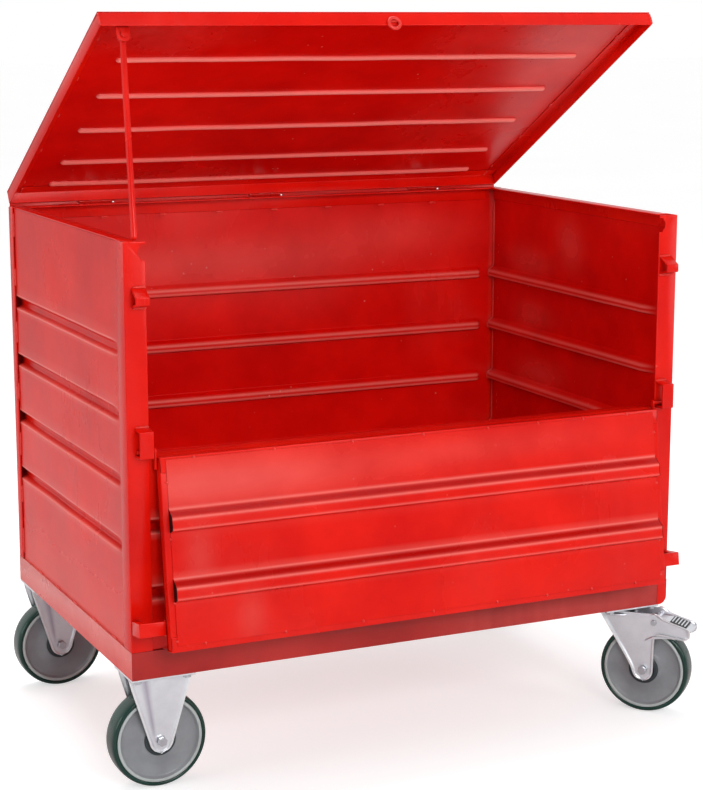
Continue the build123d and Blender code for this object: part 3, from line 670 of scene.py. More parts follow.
def right_haze(a, z):
    """Painted reflection: two pale patches in the upper band, one slanting forwards, and one in each of
    two bands below.
    """
    patches = soft_spot(a, z - 0.15 * a, (0.03, 0.997), (0.05, 0.05))
    for middle, width in (((0.22, 0.942), 0.09), ((0.20, 0.812), 0.08), ((0.16, 0.672), 0.10)):
        patches += soft_spot(a, z, middle, (width, 0.03))
    return 0.40 * patches


WALL_HEIGHTS, LOWER_FRONT_HEIGHTS = (WALL_LOW, WALL_HIGH), (FLOOR_TOP, 0.692)
DEEP_SPAN = (-SHEET_Y, SHEET_Y)
LONG_REACH = SHEET_X - SHEET - SWAGE_DEPTH - 0.0005
LONG_SPAN = (-LONG_REACH, LONG_REACH)
FROM_FRONT_POST = ((0.045, 0.055), None)
FROM_BOTH_CORNERS, BETWEEN_POSTS = ((0.024, 0.012),) * 2, ((0.010, 0.012),) * 2

swaged_wall("left_wall_sheet", "left_wall_panel", RED, DEEP_SPAN, WALL_HEIGHTS, WALL_SWAGES,
            lambda a, d, z: np.stack([-SHEET_X + d, a, z], -1), (-1, 0, 0), FROM_FRONT_POST, 3,
            haze=left_haze)
swaged_wall("right_wall_sheet", "right_wall_panel", RED_INSIDE, DEEP_SPAN, WALL_HEIGHTS, WALL_SWAGES,
            lambda a, d, z: np.stack([SHEET_X - d, a, z], -1), (1, 0, 0), FROM_FRONT_POST, 5,
            haze=right_haze)
swaged_wall("rear_wall_sheet", "rear_wall_panel", RED_INSIDE, LONG_SPAN, WALL_HEIGHTS, WALL_SWAGES,
            lambda a, d, z: np.stack([a, SHEET_Y - d, z], -1), (0, 1, 0), FROM_BOTH_CORNERS, 8,
            wave=0.0009, haze=rear_haze)
swaged_wall("lower_front_sheet", "lower_front_panel", RED, LONG_SPAN, LOWER_FRONT_HEIGHTS, FRONT_SWAGES,
            lambda a, d, z: np.stack([a, -SHEET_Y + d, z], -1), (0, -1, 0), BETWEEN_POSTS, 9)

# %% [markdown]
# ## The folded and sawn bars
# The posts, rims, base rails and brackets are plain sections whose shape is already right, so each
# keeps its measured form and gets the rounded edge of its stock: wide on the posts and rails,
# small on the thin brackets.

# %% Posts, rims, base frame and brackets
for node_name, width in (
    ("front_left_post", 0.0030), ("front_right_post", 0.0030), ("rear_posts", 0.0025),
    ("side_top_rims", 0.0012), ("rear_top_rim", 0.0012),
    ("lower_front_rail", 0.0010), ("flap_hinge_straps", 0.0014),
    ("flap_keepers", 0.0014), ("prop_rest", 0.0010), ("lid_hinge_wall_leaves", 0.0008),
    ("lid_hinge_pins", 0.0008), ("floor_bearers", 0.0010), ("castor_pads", 0.0010),
    ("lid_edge_front_rear", 0.0016), ("lid_edge_sides", 0.0016), ("rod_bracket", 0.0010),
    ("rod_pivot_pin", 0.0012), ("lid_hinge_lid_leaves", 0.0008), ("prop_rod", 0.0008),
    ("flap_frame", 0.0012), ("flap_hinge_pins", 0.0010), ("flap_stop_lugs", 0.0014),
):
    softened(node_name, RED, width)
softened("base_end_rails", RED_PALE_PINK, 0.0018)
softened("base_long_rails", RED_BASE_SHADED, 0.0025)
softened("floor_sheet", RED_INSIDE, 0.0006)
softened("padlock_eye", RED_WELD, 0)


PLATE_ROUND, PLATE_DEEP, PLATE_THICK, PLATE_GAP = 0.018, 0.024, 0.0008, 0.0005


def make_corner_plate():
    """The end rail's folded edge, which laps over the front rail: a thin strip with a round lower corner."""
    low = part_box("base_long_rails")[0].z
    turn = np.linspace(-np.pi / 2, 0, 13)
    x = HALF_LENGTH - PLATE_ROUND + PLATE_ROUND * np.cos(turn)
    z = low + PLATE_ROUND + PLATE_ROUND * np.sin(turn)
    inner, top = HALF_LENGTH - PLATE_DEEP, WALL_LOW - PLATE_GAP
    outline = np.vstack([[(inner, low + PLATE_GAP)], np.stack([x, z], -1), [(HALF_LENGTH, top), (inner, top)]])
    points = [(x, y, z) for y in (-HALF_WIDTH - PLATE_THICK, -HALF_WIDTH) for x, z in outline]
    mesh = drawn_mesh("base_corner_plate", points, prism_faces(len(outline)))
    piece = link(closed_up(mesh), "base_corner_plate", RED, "container")
    round_edges(piece, 0.0003, 1, 50)


make_corner_plate()


# %% Lip under the open lid
LID_HINGE_PLACES, HINGE_GAP, LIP_END = (-0.420, 0.0, 0.420), 0.0405, HALF_LENGTH - 0.004
LIP_SECTION = [(0.4020, 1.1110), (0.4029, 1.1110), (0.4041, 1.1192), (0.4033, 1.1192)]


def make_lid_lip():
    """Leaning strips on the rear rim, between and beside the hinges, that close the slot under the lid."""
    starts = [-LIP_END] + [x + HINGE_GAP for x in LID_HINGE_PLACES]
    stops = [x - HINGE_GAP for x in LID_HINGE_PLACES] + [LIP_END]
    points, faces = [], []
    for start, stop in zip(starts, stops):
        faces += prism_faces(len(LIP_SECTION), len(points))
        points += [(x, y, z) for x in (start, stop) for y, z in LIP_SECTION]
    mesh = drawn_mesh("rear_lid_lip", points, faces)
    link(closed_up(mesh), "rear_lid_lip", RED, "container")


make_lid_lip()
print("bars and brackets are rounded")

# %% [markdown]
# ## The lid
# The lid is one sheet laid on a frame of angles. Five narrow round-nosed beads are pressed down
# into it, so from below they stand out as thin ridges with rounded ends.


# %% Lid sheet
LID_HALF, LID_FRONT, LID_REAR, LID_TOP = 0.623, -0.392, 0.400, 1.140
BEAD_ROWS = [LID_FRONT + (LID_REAR - LID_FRONT) * place for place in (0.230, 0.424, 0.618, 0.812, 0.950)]
BEAD_REACH, BEAD_RADIUS = 0.535, 0.0065


def make_lid_sheet():
    """Bead depth = radius times the root of 1 less the squared distance to the bead's line, in radii."""
    x = np.unique(np.concatenate([np.linspace(-LID_HALF, LID_HALF, 70),
                                  np.linspace(-BEAD_REACH - 0.008, -BEAD_REACH + 0.006, 14),
                                  np.linspace(BEAD_REACH - 0.006, BEAD_REACH + 0.008, 14)]).round(5))
    parts = [np.linspace(LID_FRONT, LID_REAR, 34)]
    parts += [np.linspace(row - 0.012, row + 0.012, 19) for row in BEAD_ROWS]
    y = np.unique(np.concatenate(parts).round(5))
    gx, gy = np.meshgrid(x, y, indexing="ij")
    depth = np.zeros_like(gx)
    for row in BEAD_ROWS:
        past_end = np.maximum(np.abs(gx) - (BEAD_REACH - BEAD_RADIUS), 0.0)
        away = np.hypot(past_end, gy - row) / BEAD_RADIUS
        depth = np.maximum(depth, BEAD_RADIUS * np.sqrt(np.maximum(0.0, 1 - np.minimum(away, 1) ** 2)))
    # Painted highlight along each bead's crest, and painted reflection in pale patches towards the right.
    painted_highlight = 0.95 * (depth / BEAD_RADIUS) ** 1.5
    sheen_patches = 0.45 * soft_spot(gx, gy, (0.53, -0.26), (0.16, 0.17))
    sheen_patches += 0.25 * soft_spot(gx, gy, (0.50, 0.06), (0.08, 0.12))
    window = edge_window(gx, -LID_HALF, LID_HALF, 0.06) * edge_window(gy, LID_FRONT, LID_REAR, 0.06)
    depth += 0.0008 * (1 + buckle(gx, gy, 1.0, 12)) * window
    points = lid_up(np.stack([gx, gy, LID_TOP - depth], -1))
    piece = link(grid_mesh("lid_beaded_sheet", points, facing=(0, 0, 1)), "lid_beaded_sheet", RED_INSIDE,
                 "lid")
    paint(piece.data, crest=painted_highlight, haze=sheen_patches)
    thicken(piece, SHEET)
    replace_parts(piece, "lid_sheet")
    print("lid sheet has", gx.shape, "points")


make_lid_sheet()

# %% [markdown]
# ## The flap
# The flap is a shallow tray: an angle frame with a swaged sheet laid over its inner face and tacked
# every hand's width. The ridges stay open at their ends, and near-black plates paint the shade
# inside them, which shows as dark slots.

# %% Flap sheet
FLAP_HALF, FLAP_BORDER, FLAP_LOW, FLAP_HEIGHT = 0.569, 0.012, 0.714, 0.381
FLAP_INNER = FLAP_AXIS[0] + 0.0195
FLAP_RIDGES = [FLAP_LOW + 0.124, FLAP_LOW + 0.260]
FLAP_EDGE, MOUTH_GAP, MOUTH_THICK = 0.005, 0.0004, 0.0005
FLAP_RIDGE_HEIGHT, FLAP_STEEP, FLAP_GENTLE = 0.046, 0.006, 0.018
FLAP_REACH = FLAP_HALF - FLAP_BORDER
# Painted reflection: pale patches on the flap, given as strength, middle and reach.
FLAP_SHEEN = ((0.62, (-0.47, 0.772), (0.36, 0.05)), (0.20, (0.15, 0.757), (0.25, 0.03)),
             (0.40, (-0.50, 0.912), (0.03, 0.06)), (0.35, (-0.40, 1.042), (0.03, 0.05)))


def make_flap_sheet():
    """As a wall, but with taller ridges that are steep on the side that hangs lowest."""
    low, high = FLAP_LOW + FLAP_EDGE, FLAP_LOW + FLAP_HEIGHT - FLAP_BORDER
    along = np.unique(np.concatenate([np.linspace(-FLAP_REACH, FLAP_REACH, 64),
                                      np.linspace(-FLAP_REACH, -FLAP_REACH + 0.03, 8)]))
    level = spread(low, high, FLAP_RIDGES, FLAP_RIDGE_HEIGHT, 0.018)
    a, z = np.meshgrid(along, level, indexing="ij")
    upside_down = [-r for r in FLAP_RIDGES]
    depth = SWAGE_DEPTH * swage(-z, upside_down, FLAP_RIDGE_HEIGHT, FLAP_STEEP, FLAP_GENTLE)
    outer, inner = bend_lines(-z, upside_down, FLAP_RIDGE_HEIGHT, FLAP_STEEP, FLAP_GENTLE)
    # slope paints shade on each ridge's upper slope as the flap hangs; the painted highlight lines leave out
    # the bend at low_bend, and the pale patches are painted reflection.
    low_bend, slope = np.zeros_like(z), np.zeros_like(z)
    for ridge in FLAP_RIDGES:
        half_slope = ridge - FLAP_RIDGE_HEIGHT / 2 + FLAP_GENTLE / 2
        slope = np.maximum(slope, np.exp(-((z - half_slope) / (0.36 * FLAP_GENTLE)) ** 4))
        low_bend = np.maximum(low_bend, bell(z, ridge + FLAP_RIDGE_HEIGHT / 2, 0.006))
    sheen_patches = np.zeros_like(z)
    for strength, middle, reach in FLAP_SHEEN:
        sheen_patches += strength * soft_spot(a, z, middle, reach)
    painted_highlight = 0.52 * np.maximum(outer, inner) * (1 - low_bend)
    window = edge_window(a, -FLAP_REACH, FLAP_REACH, 0.05) * edge_window(z, low, high, 0.03)
    depth += buckle(a, z, 0.0012, 21) * window
    points = flap_down(np.stack([a, FLAP_INNER + SHEET + depth, z], -1))
    piece = link(grid_mesh("flap_swaged_sheet", points, facing=(0, -1, 0)), "flap_swaged_sheet", RED,
                 "flap")
    paint(piece.data, crest=painted_highlight, haze=sheen_patches * (1 - slope), shade=slope)
    thicken(piece, SHEET)
    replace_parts(piece, "flap_panel")
    print("flap sheet has", a.shape, "points")


def make_ridge_mouth_shadows():
    """Painted shade in the hollow under each ridge, seen from its open end:
    a near-black plate of the ridge's own outline.
    """
    points, faces = [], []
    for ridge in FLAP_RIDGES:
        z = np.linspace(ridge - FLAP_RIDGE_HEIGHT / 2, ridge + FLAP_RIDGE_HEIGHT / 2, 24)
        rise = SWAGE_DEPTH * swage(-z, [-ridge], FLAP_RIDGE_HEIGHT, FLAP_STEEP, FLAP_GENTLE)
        for side in (-1, 1):
            x = np.full_like(z, side * (FLAP_REACH + MOUTH_GAP))
            edge = np.stack([x, FLAP_INNER + SHEET + rise + 0.0004, z], -1)
            back = edge * (1, 0, 1) + (0, FLAP_INNER - 0.0002, 0)
            outline = flap_down(np.vstack([edge, back[::-1]]))
            ids = len(points) + np.arange(2 * len(outline))
            faces += [ids[:len(outline)].tolist(), ids[len(outline):][::-1].tolist()]
            points += [*outline, *(outline - (side * MOUTH_THICK, 0, 0))]
    mesh = drawn_mesh("flap_ridge_mouth_shadows", points, faces)
    link(mesh, "flap_ridge_mouth_shadows", MOUTH_SHADOW, "flap")


make_flap_sheet()
make_ridge_mouth_shadows()

# %% [markdown]
# ## Welds
# A weld bead is a ripple of small overlapping pools. Each bead is a half-sunk tube along its seam,
# whose radius swells and pinches with every pool. Tack welds are single flattened drops.


# %% Weld beads and tacks
def frames_along(path):
    """Unit direction along a path and two unit vectors across it, at each of its points."""
    forward = np.gradient(path, axis=0)
    forward /= np.linalg.norm(forward, axis=1, keepdims=True)
    helper = np.where(np.abs(forward[:, 2:3]) < 0.9, [[0.0, 0.0, 1.0]], [[1.0, 0.0, 0.0]])
    side = np.cross(forward, helper)
    side /= np.linalg.norm(side, axis=1, keepdims=True)
    return forward, side, np.cross(forward, side)


def bead_points(path, radius, pool=0.006, seed=1):
    """A tube round the path: radius times 1 plus a ripple of one wave a pool, closed at both ends."""
    length = np.concatenate([[0], np.cumsum(np.linalg.norm(np.diff(path, axis=0), axis=1))])
    steps = max(8, int(length[-1] / (pool / 4)))
    s = np.linspace(0, length[-1], steps)
    line = np.stack([np.interp(s, length, path[:, i]) for i in range(3)], -1)
    forward, side, up = frames_along(line)
    rng = np.random.default_rng(seed)
    wobble = np.interp(s, np.linspace(0, length[-1], 12), rng.uniform(0.75, 1.2, 12))
    ripple = 1 + 0.16 * np.abs(np.sin(np.pi * s / pool))
    taper = np.sqrt(np.clip(np.minimum(s, length[-1] - s) / (1.5 * radius), 0, 1))
    r = (radius * wobble * ripple * taper)[:, None, None]
    angle = np.linspace(0, 2 * np.pi, 9)[:-1][None, :, None]
    ring = line[:, None] + r * (np.cos(angle) * side[:, None] + np.sin(angle) * up[:, None])
    return np.swapaxes(ring, 0, 1)


def welds(name, paths, body, radius=0.0024, turn=None):
    """One piece made of many beads; turn carries the drawn places to where the body holds them."""
    verts, faces, start = [], [], 0
    for number, path in enumerate(paths):
        ring = bead_points(np.array(path, float), radius, seed=number + 1)
        if turn:
            ring = turn(ring)
        faces.append(tube_faces(*ring.shape[:2], start))
        verts.append(ring.reshape(-1, 3))
        start += len(verts[-1])
    mesh = drawn_mesh(name, np.vstack(verts), np.vstack(faces).tolist())
    link(closed_up(mesh), name, RED_WELD, body)
    print(name, "has", len(paths), "beads")


def stitch(start, run):
    """A short straight weld that runs on from start."""
    return [start, tuple(a + b for a, b in zip(start, run))]


def ridge_path(x_of, y_of, low, high, inward):
    """The seam in a corner: straight on the flat and bulging with every ridge it crosses."""
    z = np.linspace(low, high, 260)
    bulge = SWAGE_DEPTH * swage(z, WALL_SWAGES, SWAGE_HEIGHT) * inward
    return np.stack([x_of + bulge, np.full_like(z, y_of), z], -1)


# %% Where the welds are
SEAM_LOW, SEAM_HIGH = 0.312, 1.074
POST_WELDS = ((0.312, 0.372), (0.432, 0.472), (0.542, 0.597), (0.672, 0.712), (0.802, 0.852),
              (0.932, 0.972), (1.042, 1.097))
BRACKET_EDGES, BRACKET_X = (0.691, 0.750, 0.982, 1.022), (0.608, 0.580)
BASE_SEAM, RIM_UNDERSIDE = 0.2995, 1.0792
FLAP_TACKS_X, FLAP_TACKS_Z = (-0.50, -0.33, -0.16, 0.0, 0.15, 0.27, 0.38, 0.49), (0.762, 0.872, 0.997, 1.072)
LUG_EDGES = (FLAP_LOW + 0.322, FLAP_LOW + 0.349)
LID_CORNER_X, LID_ANGLE_X, LID_LEG_UNDER, LID_SHEET_UNDER = 0.6225, 0.594, 1.1346, 1.1365


def container_seams():
    """Seams in the rear corners, stitches up the posts and along rim and base, and the bracket ends."""
    seams = [ridge_path(side * (SHEET_X - SHEET - 0.001), SHEET_Y - SHEET - 0.001, SEAM_LOW, SEAM_HIGH, -side)
             for side in (1, -1)]
    for side in (-1, 1):
        for low, high in POST_WELDS:
            for y in (HALF_WIDTH - 0.030, -HALF_WIDTH + 0.045):
                seams.append(stitch((side * (SHEET_X + 0.0005), y, low), (0, 0, high - low)))
    for x in np.arange(-0.56, 0.56, 0.14):
        seams.append(stitch((x, HALF_WIDTH - 0.034, RIM_UNDERSIDE), (0.018, 0, 0)))
        seams.append(stitch((x, -SHEET_Y - 0.0003, BASE_SEAM + 0.001), (0.05, 0, 0)))
    for y in np.arange(-0.30, 0.34, 0.13):
        for side in (-1, 1):
            seams.append(stitch((side * (SHEET_X + 0.0003), y, BASE_SEAM), (0, 0.03, 0)))
    for side in (-1, 1):
        for z in BRACKET_EDGES:
            seams.append([(side * x, -HALF_WIDTH - 0.001, z) for x in BRACKET_X])
    return seams


def flap_tacks():
    """Tacks along the flap's two long edges and up its ends, and the seams that hold its lugs."""
    tacks = []
    for x in FLAP_TACKS_X:
        for z in (FLAP_LOW + FLAP_EDGE, FLAP_LOW + FLAP_HEIGHT - FLAP_BORDER):
            tacks.append(stitch((x, FLAP_INNER + 0.001, z - 0.004), (0.002, 0, 0.008)))
    for z in FLAP_TACKS_Z:
        for side in (-1, 1):
            tacks.append(stitch((side * FLAP_REACH - 0.004, FLAP_INNER + 0.001, z), (0.008, 0, 0.002)))
    for side in (-1, 1):
        for z in LUG_EDGES:
            tacks.append(stitch((side * FLAP_HALF, FLAP_INNER - 0.028, z), (0, -0.006, 0)))
    return tacks


def lid_seams():
    """The mitred corners of the lid's angles, stitches under its sheet, and the padlock eye's seam."""
    seams = []
    for side in (-1, 1):
        seams.append(stitch((side * LID_CORNER_X, LID_FRONT + 0.0005, 1.111), (0, 0, 0.026)))
        for y in (LID_FRONT + 0.003, LID_REAR - 0.029):
            seams.append(stitch((side * LID_ANGLE_X, y, LID_LEG_UNDER), (0, 0.026, 0)))
        for y in np.arange(-0.30, 0.36, 0.16):
            seams.append(stitch((side * (LID_ANGLE_X + 0.001), y, LID_SHEET_UNDER), (0, 0.014, 0)))
    for x in np.arange(-0.52, 0.56, 0.17):
        seams.append(stitch((x, LID_FRONT + 0.028, LID_SHEET_UNDER), (0.014, 0, 0)))
    seams.append(stitch((-0.011, LID_FRONT - 0.001, 1.118), (0.022, 0, 0)))
    return seams


welds("container_welds", container_seams(), "container")
welds("flap_tack_welds", flap_tacks(), "flap", 0.0026, flap_down)
welds("lid_welds", lid_seams(), "lid", 0.0020, lid_up)

# %% [markdown]
# ## Castors
# A wheel is a profile spun about its axle: a grey moulded disc with a raised lip, a dish and a hub,
# a rounded green tread, and a dark dust cap. The fork legs are pressed plates with a raised rim.


# %% Wheels
def spun(name, profile, castor, side_x, steps=96):
    """A closed profile of (radius, across) points carried round the axle: x = r cos a, z = r sin a."""
    profile = np.array(profile, float)
    angle = np.linspace(0, 2 * np.pi, steps, endpoint=False)[:, None]
    x = side_x + profile[None, :, 0] * np.cos(angle)
    z = AXLE_HEIGHT + profile[None, :, 0] * np.sin(angle)
    y = np.broadcast_to(profile[None, :, 1], x.shape)
    points = on_castor(castor, np.stack([x, y, z], -1))
    points = np.concatenate([points, points[:, :1]], axis=1)
    return closed_up(grid_mesh(name, points, around=True))


def both_faces(half_profile):
    """A profile given from the rim to the hub on one face, and mirrored to close the other face."""
    near = [(r, -y) for r, y in half_profile]
    return near + [(r, y) for r, y in reversed(half_profile)]


DISC = [(0.0895, 0.0235), (0.0885, 0.0245), (0.0845, 0.0245), (0.0828, 0.0232), (0.0805, 0.0190),
        (0.0780, 0.0172), (0.0600, 0.0165), (0.0520, 0.0168), (0.0500, 0.0180), (0.0430, 0.0184),
        (0.0410, 0.0200), (0.0330, 0.0226), (0.0300, 0.0230), (0.0104, 0.0230)]
LIP = [(0.0897, 0.0236), (0.0890, 0.0249), (0.0850, 0.0251), (0.0832, 0.0243), (0.0836, 0.0225),
       (0.0897, 0.0225)]
TREAD = [(0.0902, 0.0225), (0.0905, 0.0238), (0.0925, 0.0248), (0.0950, 0.0245), (0.0972, 0.0230),
         (0.0986, 0.0205), (0.0994, 0.0170), (0.0999, 0.0100), (0.1000, 0.0030)]
CAP = [(0.0330, 0.0222), (0.0330, 0.0252), (0.0320, 0.0264), (0.0240, 0.0270), (0.0225, 0.0262),
       (0.0180, 0.0262), (0.0165, 0.0270), (0.0108, 0.0270), (0.0106, 0.0225)]
FACES = (("near", -1), ("far", 1))


def wheel_piece(name, profile, castor, material):
    """One spun ring of a wheel, in the fork's middle: under the kingpin, or trailing it on a swivel."""
    axle_x = 0.0 if "left" in castor else TRAIL
    name = f"{name}_{castor}"
    return link(spun(name, profile, castor, axle_x), name, material, "wheel_" + castor)


for castor in CASTORS:
    disc = wheel_piece("wheel_disc", both_faces(DISC), castor, WHEEL_GREY)
    round_edges(disc, 0.0004, 1, 50)
    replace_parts(disc, "wheel_centre_" + castor)
    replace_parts(wheel_piece("tyre", both_faces(TREAD), castor, GREEN), "wheel_tread_" + castor)
    for face, side in FACES:
        lip, cap = ([(r, side * w) for r, w in profile] for profile in (LIP, CAP))
        wheel_piece("wheel_lip_" + face, lip, castor, WHEEL_LIP)
        cap_piece = wheel_piece("dust_cap_" + face, cap, castor, DARK)
        if face == "near":
            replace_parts(cap_piece, "bearing_caps_" + castor)
print("four wheels are spun")


# %% [markdown]
# Each fork leg is a ruled surface: every row runs straight from a point on its left edge to the
# matching point on its right edge. The rim stands a little proud, and a painted highlight shows
# the edge as a pale line.


# %% Fork legs
LEG_OUTSIDE, LEG_RIM = 0.0340, 0.0022


def smooth_edge(corners, count=60, rounding=3):
    """A corner list cut off three times at its corners, then spaced evenly by length."""
    line = np.array(corners, float)
    for _ in range(rounding):
        cut = np.empty((2 * len(line) - 2, 2))
        cut[0::2] = 0.75 * line[:-1] + 0.25 * line[1:]
        cut[1::2] = 0.25 * line[:-1] + 0.75 * line[1:]
        line = np.vstack([line[:1], cut, line[-1:]])
    length = np.concatenate([[0], np.cumsum(np.linalg.norm(np.diff(line, axis=0), axis=1))])
    s = np.linspace(0, length[-1], count)
    return np.stack([np.interp(s, length, line[:, 0]), np.interp(s, length, line[:, 1])], -1)


def leg(name, castor, left, right, side):
    """Points between the two edges; the face is sunk behind a rim, which eases down over 4 mm."""
    left, right = smooth_edge(left), smooth_edge(right)
    across = np.unique(np.concatenate([np.linspace(0, 0.16, 9), np.linspace(0.16, 0.84, 15),
                                       np.linspace(0.84, 1, 9)]))
    flat = left[:, None] * (1 - across[None, :, None]) + right[:, None] * across[None, :, None]
    width = np.linalg.norm(right - left, axis=1)[:, None]
    from_edge = np.minimum(across, 1 - across)[None, :] * width
    y = side * (LEG_OUTSIDE - LEG_RIM * ease((from_edge - 0.0035) / 0.004))
    points = np.stack([flat[..., 0], y, flat[..., 1] + AXLE_HEIGHT], -1)
    outward = on_castor(castor, np.array([0.0, side, 0.0])) - on_castor(castor, np.zeros(3))
    mesh = grid_mesh(name, on_castor(castor, points), facing=outward)
    # crease paints shade in a strip a quarter of the way across the fixed legs, fading towards the bottom; rim
    # paints a highlight along both edges.
    crease = bell(across[None, :], 0.25, 0.055) * ease((flat[..., 1] + 0.01) / 0.05)
    if "fixed" not in name:
        crease = np.zeros_like(crease)
    paint(mesh, rim=1 - ease((from_edge - LEG_RIM) / LEG_RIM), crease=crease)
    return mesh


FIXED_LEFT = [(-0.066, 0.1372), (-0.064, 0.124), (-0.027, 0.004), (-0.0230, -0.0105), (-0.0150, -0.0205),
              (-0.0060, -0.0225), (0.0, -0.0225)]
FIXED_RIGHT = [(-x, z) for x, z in FIXED_LEFT]
SWIVEL_LEFT = [(-0.103, 0.1290), (-0.100, 0.122), (-0.028, 0.010), (-0.0225, -0.0095), (-0.0150, -0.0200),
               (-0.0060, -0.0225), (0.0, -0.0225)]
SWIVEL_RIGHT = [(0.026, 0.1295), (0.034, 0.1285), (0.046, 0.1180), (0.100, 0.1050), (0.1045, 0.1000),
                (0.1045, 0.0850), (0.098, 0.0800), (0.046, 0.0870), (0.026, 0.0860), (0.0235, 0.062),
                (0.0235, 0.004), (0.0220, -0.0110), (0.0145, -0.0205), (0.0060, -0.0225), (0.0, -0.0225)]


def leg_piece(name, castor, left, right, side, body):
    """A leg of 4 mm plate, its two edges joined at the lower tip."""
    mesh = closed_up(leg(name, castor, left, right, side), 5e-6, outwards=False)
    return thicken(link(mesh, name, ZINC, body), 0.004)


def strip(name, castor, outline, near, far, body, material, edge=0.0008):
    """A closed outline of (x, z) points carried across from y = near to y = far, with capped ends."""
    outline = np.array(outline, float)
    rings = [np.stack([outline[:, 0], np.full(len(outline), y), outline[:, 1] + AXLE_HEIGHT], -1)
             for y in (near, far)]
    mesh = drawn_mesh(name, on_castor(castor, np.vstack(rings)), prism_faces(len(outline)))
    return round_edges(link(closed_up(mesh), name, material, body), edge)


def circle(radius, middle=(0.0, 0.0), count=40, turn=0.0):
    """Points spaced evenly round a middle: (x + r cos a, z + r sin a)."""
    angle = np.linspace(0, 2 * np.pi, count, endpoint=False) + turn
    return [(middle[0] + radius * math.cos(a), middle[1] + radius * math.sin(a)) for a in angle]


def make_axle(castor, x, body):
    """A hexagon head outside each leg, x behind the kingpin, and the sleeve between the legs."""
    for face, side in FACES:
        head = strip(f"axle_head_{face}_{castor}", castor, circle(0.0102, (x, 0), 6, 0.3), side * 0.0335,
                     side * 0.0415, body, BOLT_STEEL, 0.0014)
        if face == "near":
            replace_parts(head, "axle_bolt_" + castor)
    strip("axle_sleeve_" + castor, castor, circle(0.0100, (x, 0)), -0.030, 0.030, body, BOLT_STEEL)


# %% Fixed castors
PLATE_CORNERS = [(-0.0675, 0.137), (0.0675, 0.137), (0.0675, 0.142), (-0.0675, 0.142)]
for castor in ("front_left", "rear_left"):
    for face, side in FACES:
        piece = leg_piece(f"fixed_leg_{face}_{castor}", castor, FIXED_LEFT, FIXED_RIGHT, side, "container")
        if face == "near":
            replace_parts(piece, "castor_fork_" + castor)
    strip("fixed_plate_" + castor, castor, PLATE_CORNERS, -0.055, 0.055, "container", ZINC, 0.0012)
    make_axle(castor, 0.0, "container")
print("fixed castors are in place")

# %% Swivel castors
PEDAL_PIVOT = (0.087, 0.111)
for castor in ("front_right", "rear_right"):
    fork = "fork_" + castor
    left, right = np.array(SWIVEL_LEFT) + (TRAIL, 0), np.array(SWIVEL_RIGHT) + (TRAIL, 0)
    for face, side in FACES:
        piece = leg_piece(f"swivel_leg_{face}_{castor}", castor, left, right, side, fork)
        if face == "near":
            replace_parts(piece, "castor_fork_" + castor)
        strip(f"pedal_pin_head_{face}_{castor}", castor, circle(0.0062, PEDAL_PIVOT, 24), side * 0.0335,
              side * 0.0368, fork, BOLT_STEEL)
    make_axle(castor, TRAIL, fork)
    pin = strip("pedal_pin_" + castor, castor, circle(0.0040, PEDAL_PIVOT, 24), -LEG_OUTSIDE, LEG_OUTSIDE,
                fork, BOLT_STEEL)
    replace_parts(pin, "brake_pin_" + castor)


def turned_ring(name, castor, profile, body, material, steps=72):
    """A closed profile of (radius, height) points carried round the kingpin."""
    profile = np.array(profile, float)
    angle = np.linspace(0, 2 * np.pi, steps, endpoint=False)[:, None]
    points = np.stack([profile[None, :, 0] * np.cos(angle), profile[None, :, 0] * np.sin(angle),
                       np.broadcast_to(profile[None, :, 1], (steps, len(profile)))], -1)
    points = np.concatenate([points, points[:, :1]], axis=1)
    mesh = closed_up(grid_mesh(name, on_castor(castor, points), around=True))
    return link(mesh, name, material, body)


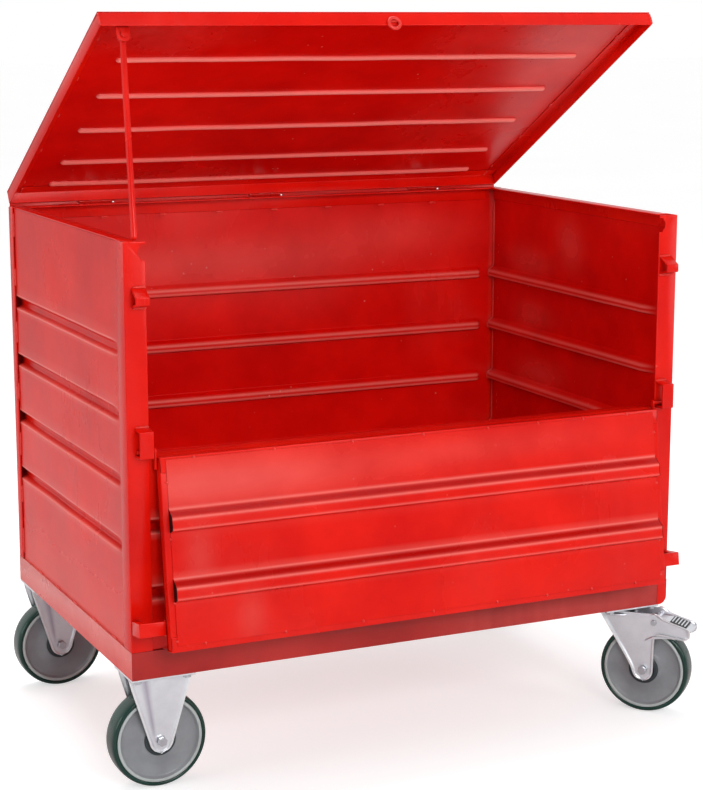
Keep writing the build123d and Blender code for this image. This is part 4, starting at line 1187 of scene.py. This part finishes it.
CROWN = [(0.0085, 0.2246), (0.0360, 0.2246), (0.0400, 0.2238), (0.0412, 0.2215), (0.0400, 0.2192),
         (0.0360, 0.2190), (0.0085, 0.2190)]
RACE = [(0.0090, 0.2370), (0.0385, 0.2370), (0.0400, 0.2350), (0.0400, 0.2318), (0.0385, 0.2302),
        (0.0090, 0.2302)]
for castor in ("front_right", "rear_right"):
    turned_ring("fork_crown_" + castor, castor, CROWN, "fork_" + castor, ZINC)
    turned_ring("ball_race_" + castor, castor, RACE, "container", DARK)
    # The top plate is bolted on square to the frame, whichever way the castor under it heads.
    CASTORS["straight"] = (*CASTORS[castor][:2], 0.0)
    plate = strip("swivel_plate_" + castor, "straight", PLATE_CORNERS, -0.055, 0.055, "container", ZINC,
                  0.0012)
    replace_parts(plate, "castor_plate_" + castor)
del CASTORS["straight"]
print("swivel castors are in place")

# %% [markdown]
# The brake pedal is a pressed tongue with a black rubber grip let into its top, and a bare metal lip
# at the toe. It rocks on its pin between the fork legs.


# %% Brake pedals
TONGUE = [(-0.018, -0.0030), (0.028, -0.0030), (0.060, -0.0110), (0.080, -0.0160), (0.084, -0.0150),
          (0.084, -0.0128), (0.060, -0.0062), (0.031, 0.0034), (-0.018, 0.0040)]
PAD = [(0.0340, 0.0022), (0.0700, -0.0090), (0.0705, -0.0062), (0.0345, 0.0050)]
RIB = [(-0.0014, -0.0004), (0.0014, -0.0013), (0.0017, 0.0008), (-0.0011, 0.0017)]


def about(middle, outline):
    return [(middle[0] + x, middle[1] + z) for x, z in outline]


def pedal_piece(name, castor, outline, half_width, material, edge=0.0008):
    """An outline drawn about the pedal's pivot, as wide on one side of the middle as on the other."""
    return strip(f"{name}_{castor}", castor, about(PEDAL_PIVOT, outline), -half_width, half_width,
                 "pedal_" + castor, material, edge)


for castor in ("front_right", "rear_right"):
    tongue = pedal_piece("pedal_tongue", castor, TONGUE, 0.026, ZINC, 0.0012)
    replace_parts(tongue, "brake_pedal_" + castor)
    pedal_piece("pedal_boss", castor, circle(0.0080, count=32), 0.0292, ZINC)
    pedal_piece("pedal_grip", castor, PAD, 0.023, GRIP, 0.0010)
    for row in range(5):
        t = 0.12 + 0.19 * row
        rib = about((0.0345 + 0.0360 * t, 0.0048 - 0.0112 * t), RIB)
        pedal_piece(f"pedal_rib_{row}", castor, rib, 0.019, ZINC, 0.0003)
print("brake pedals are in place")

# %% [markdown]
# ## The measured pieces that stay
# The bolts and kingpins are hidden or small and right as measured, so they only get a finish.

# %% Finish for the pieces that stay
for name, piece in frame["nodes"].items():
    if piece.hide_render:
        continue
    finish = BOLT_STEEL if name in ("castor_bolts", "castor_kingpins") else RED
    for place in piece.material_slots:
        place.material = finish
    if not piece.material_slots:
        piece.data.materials.append(finish)
    print("kept as measured:", name)
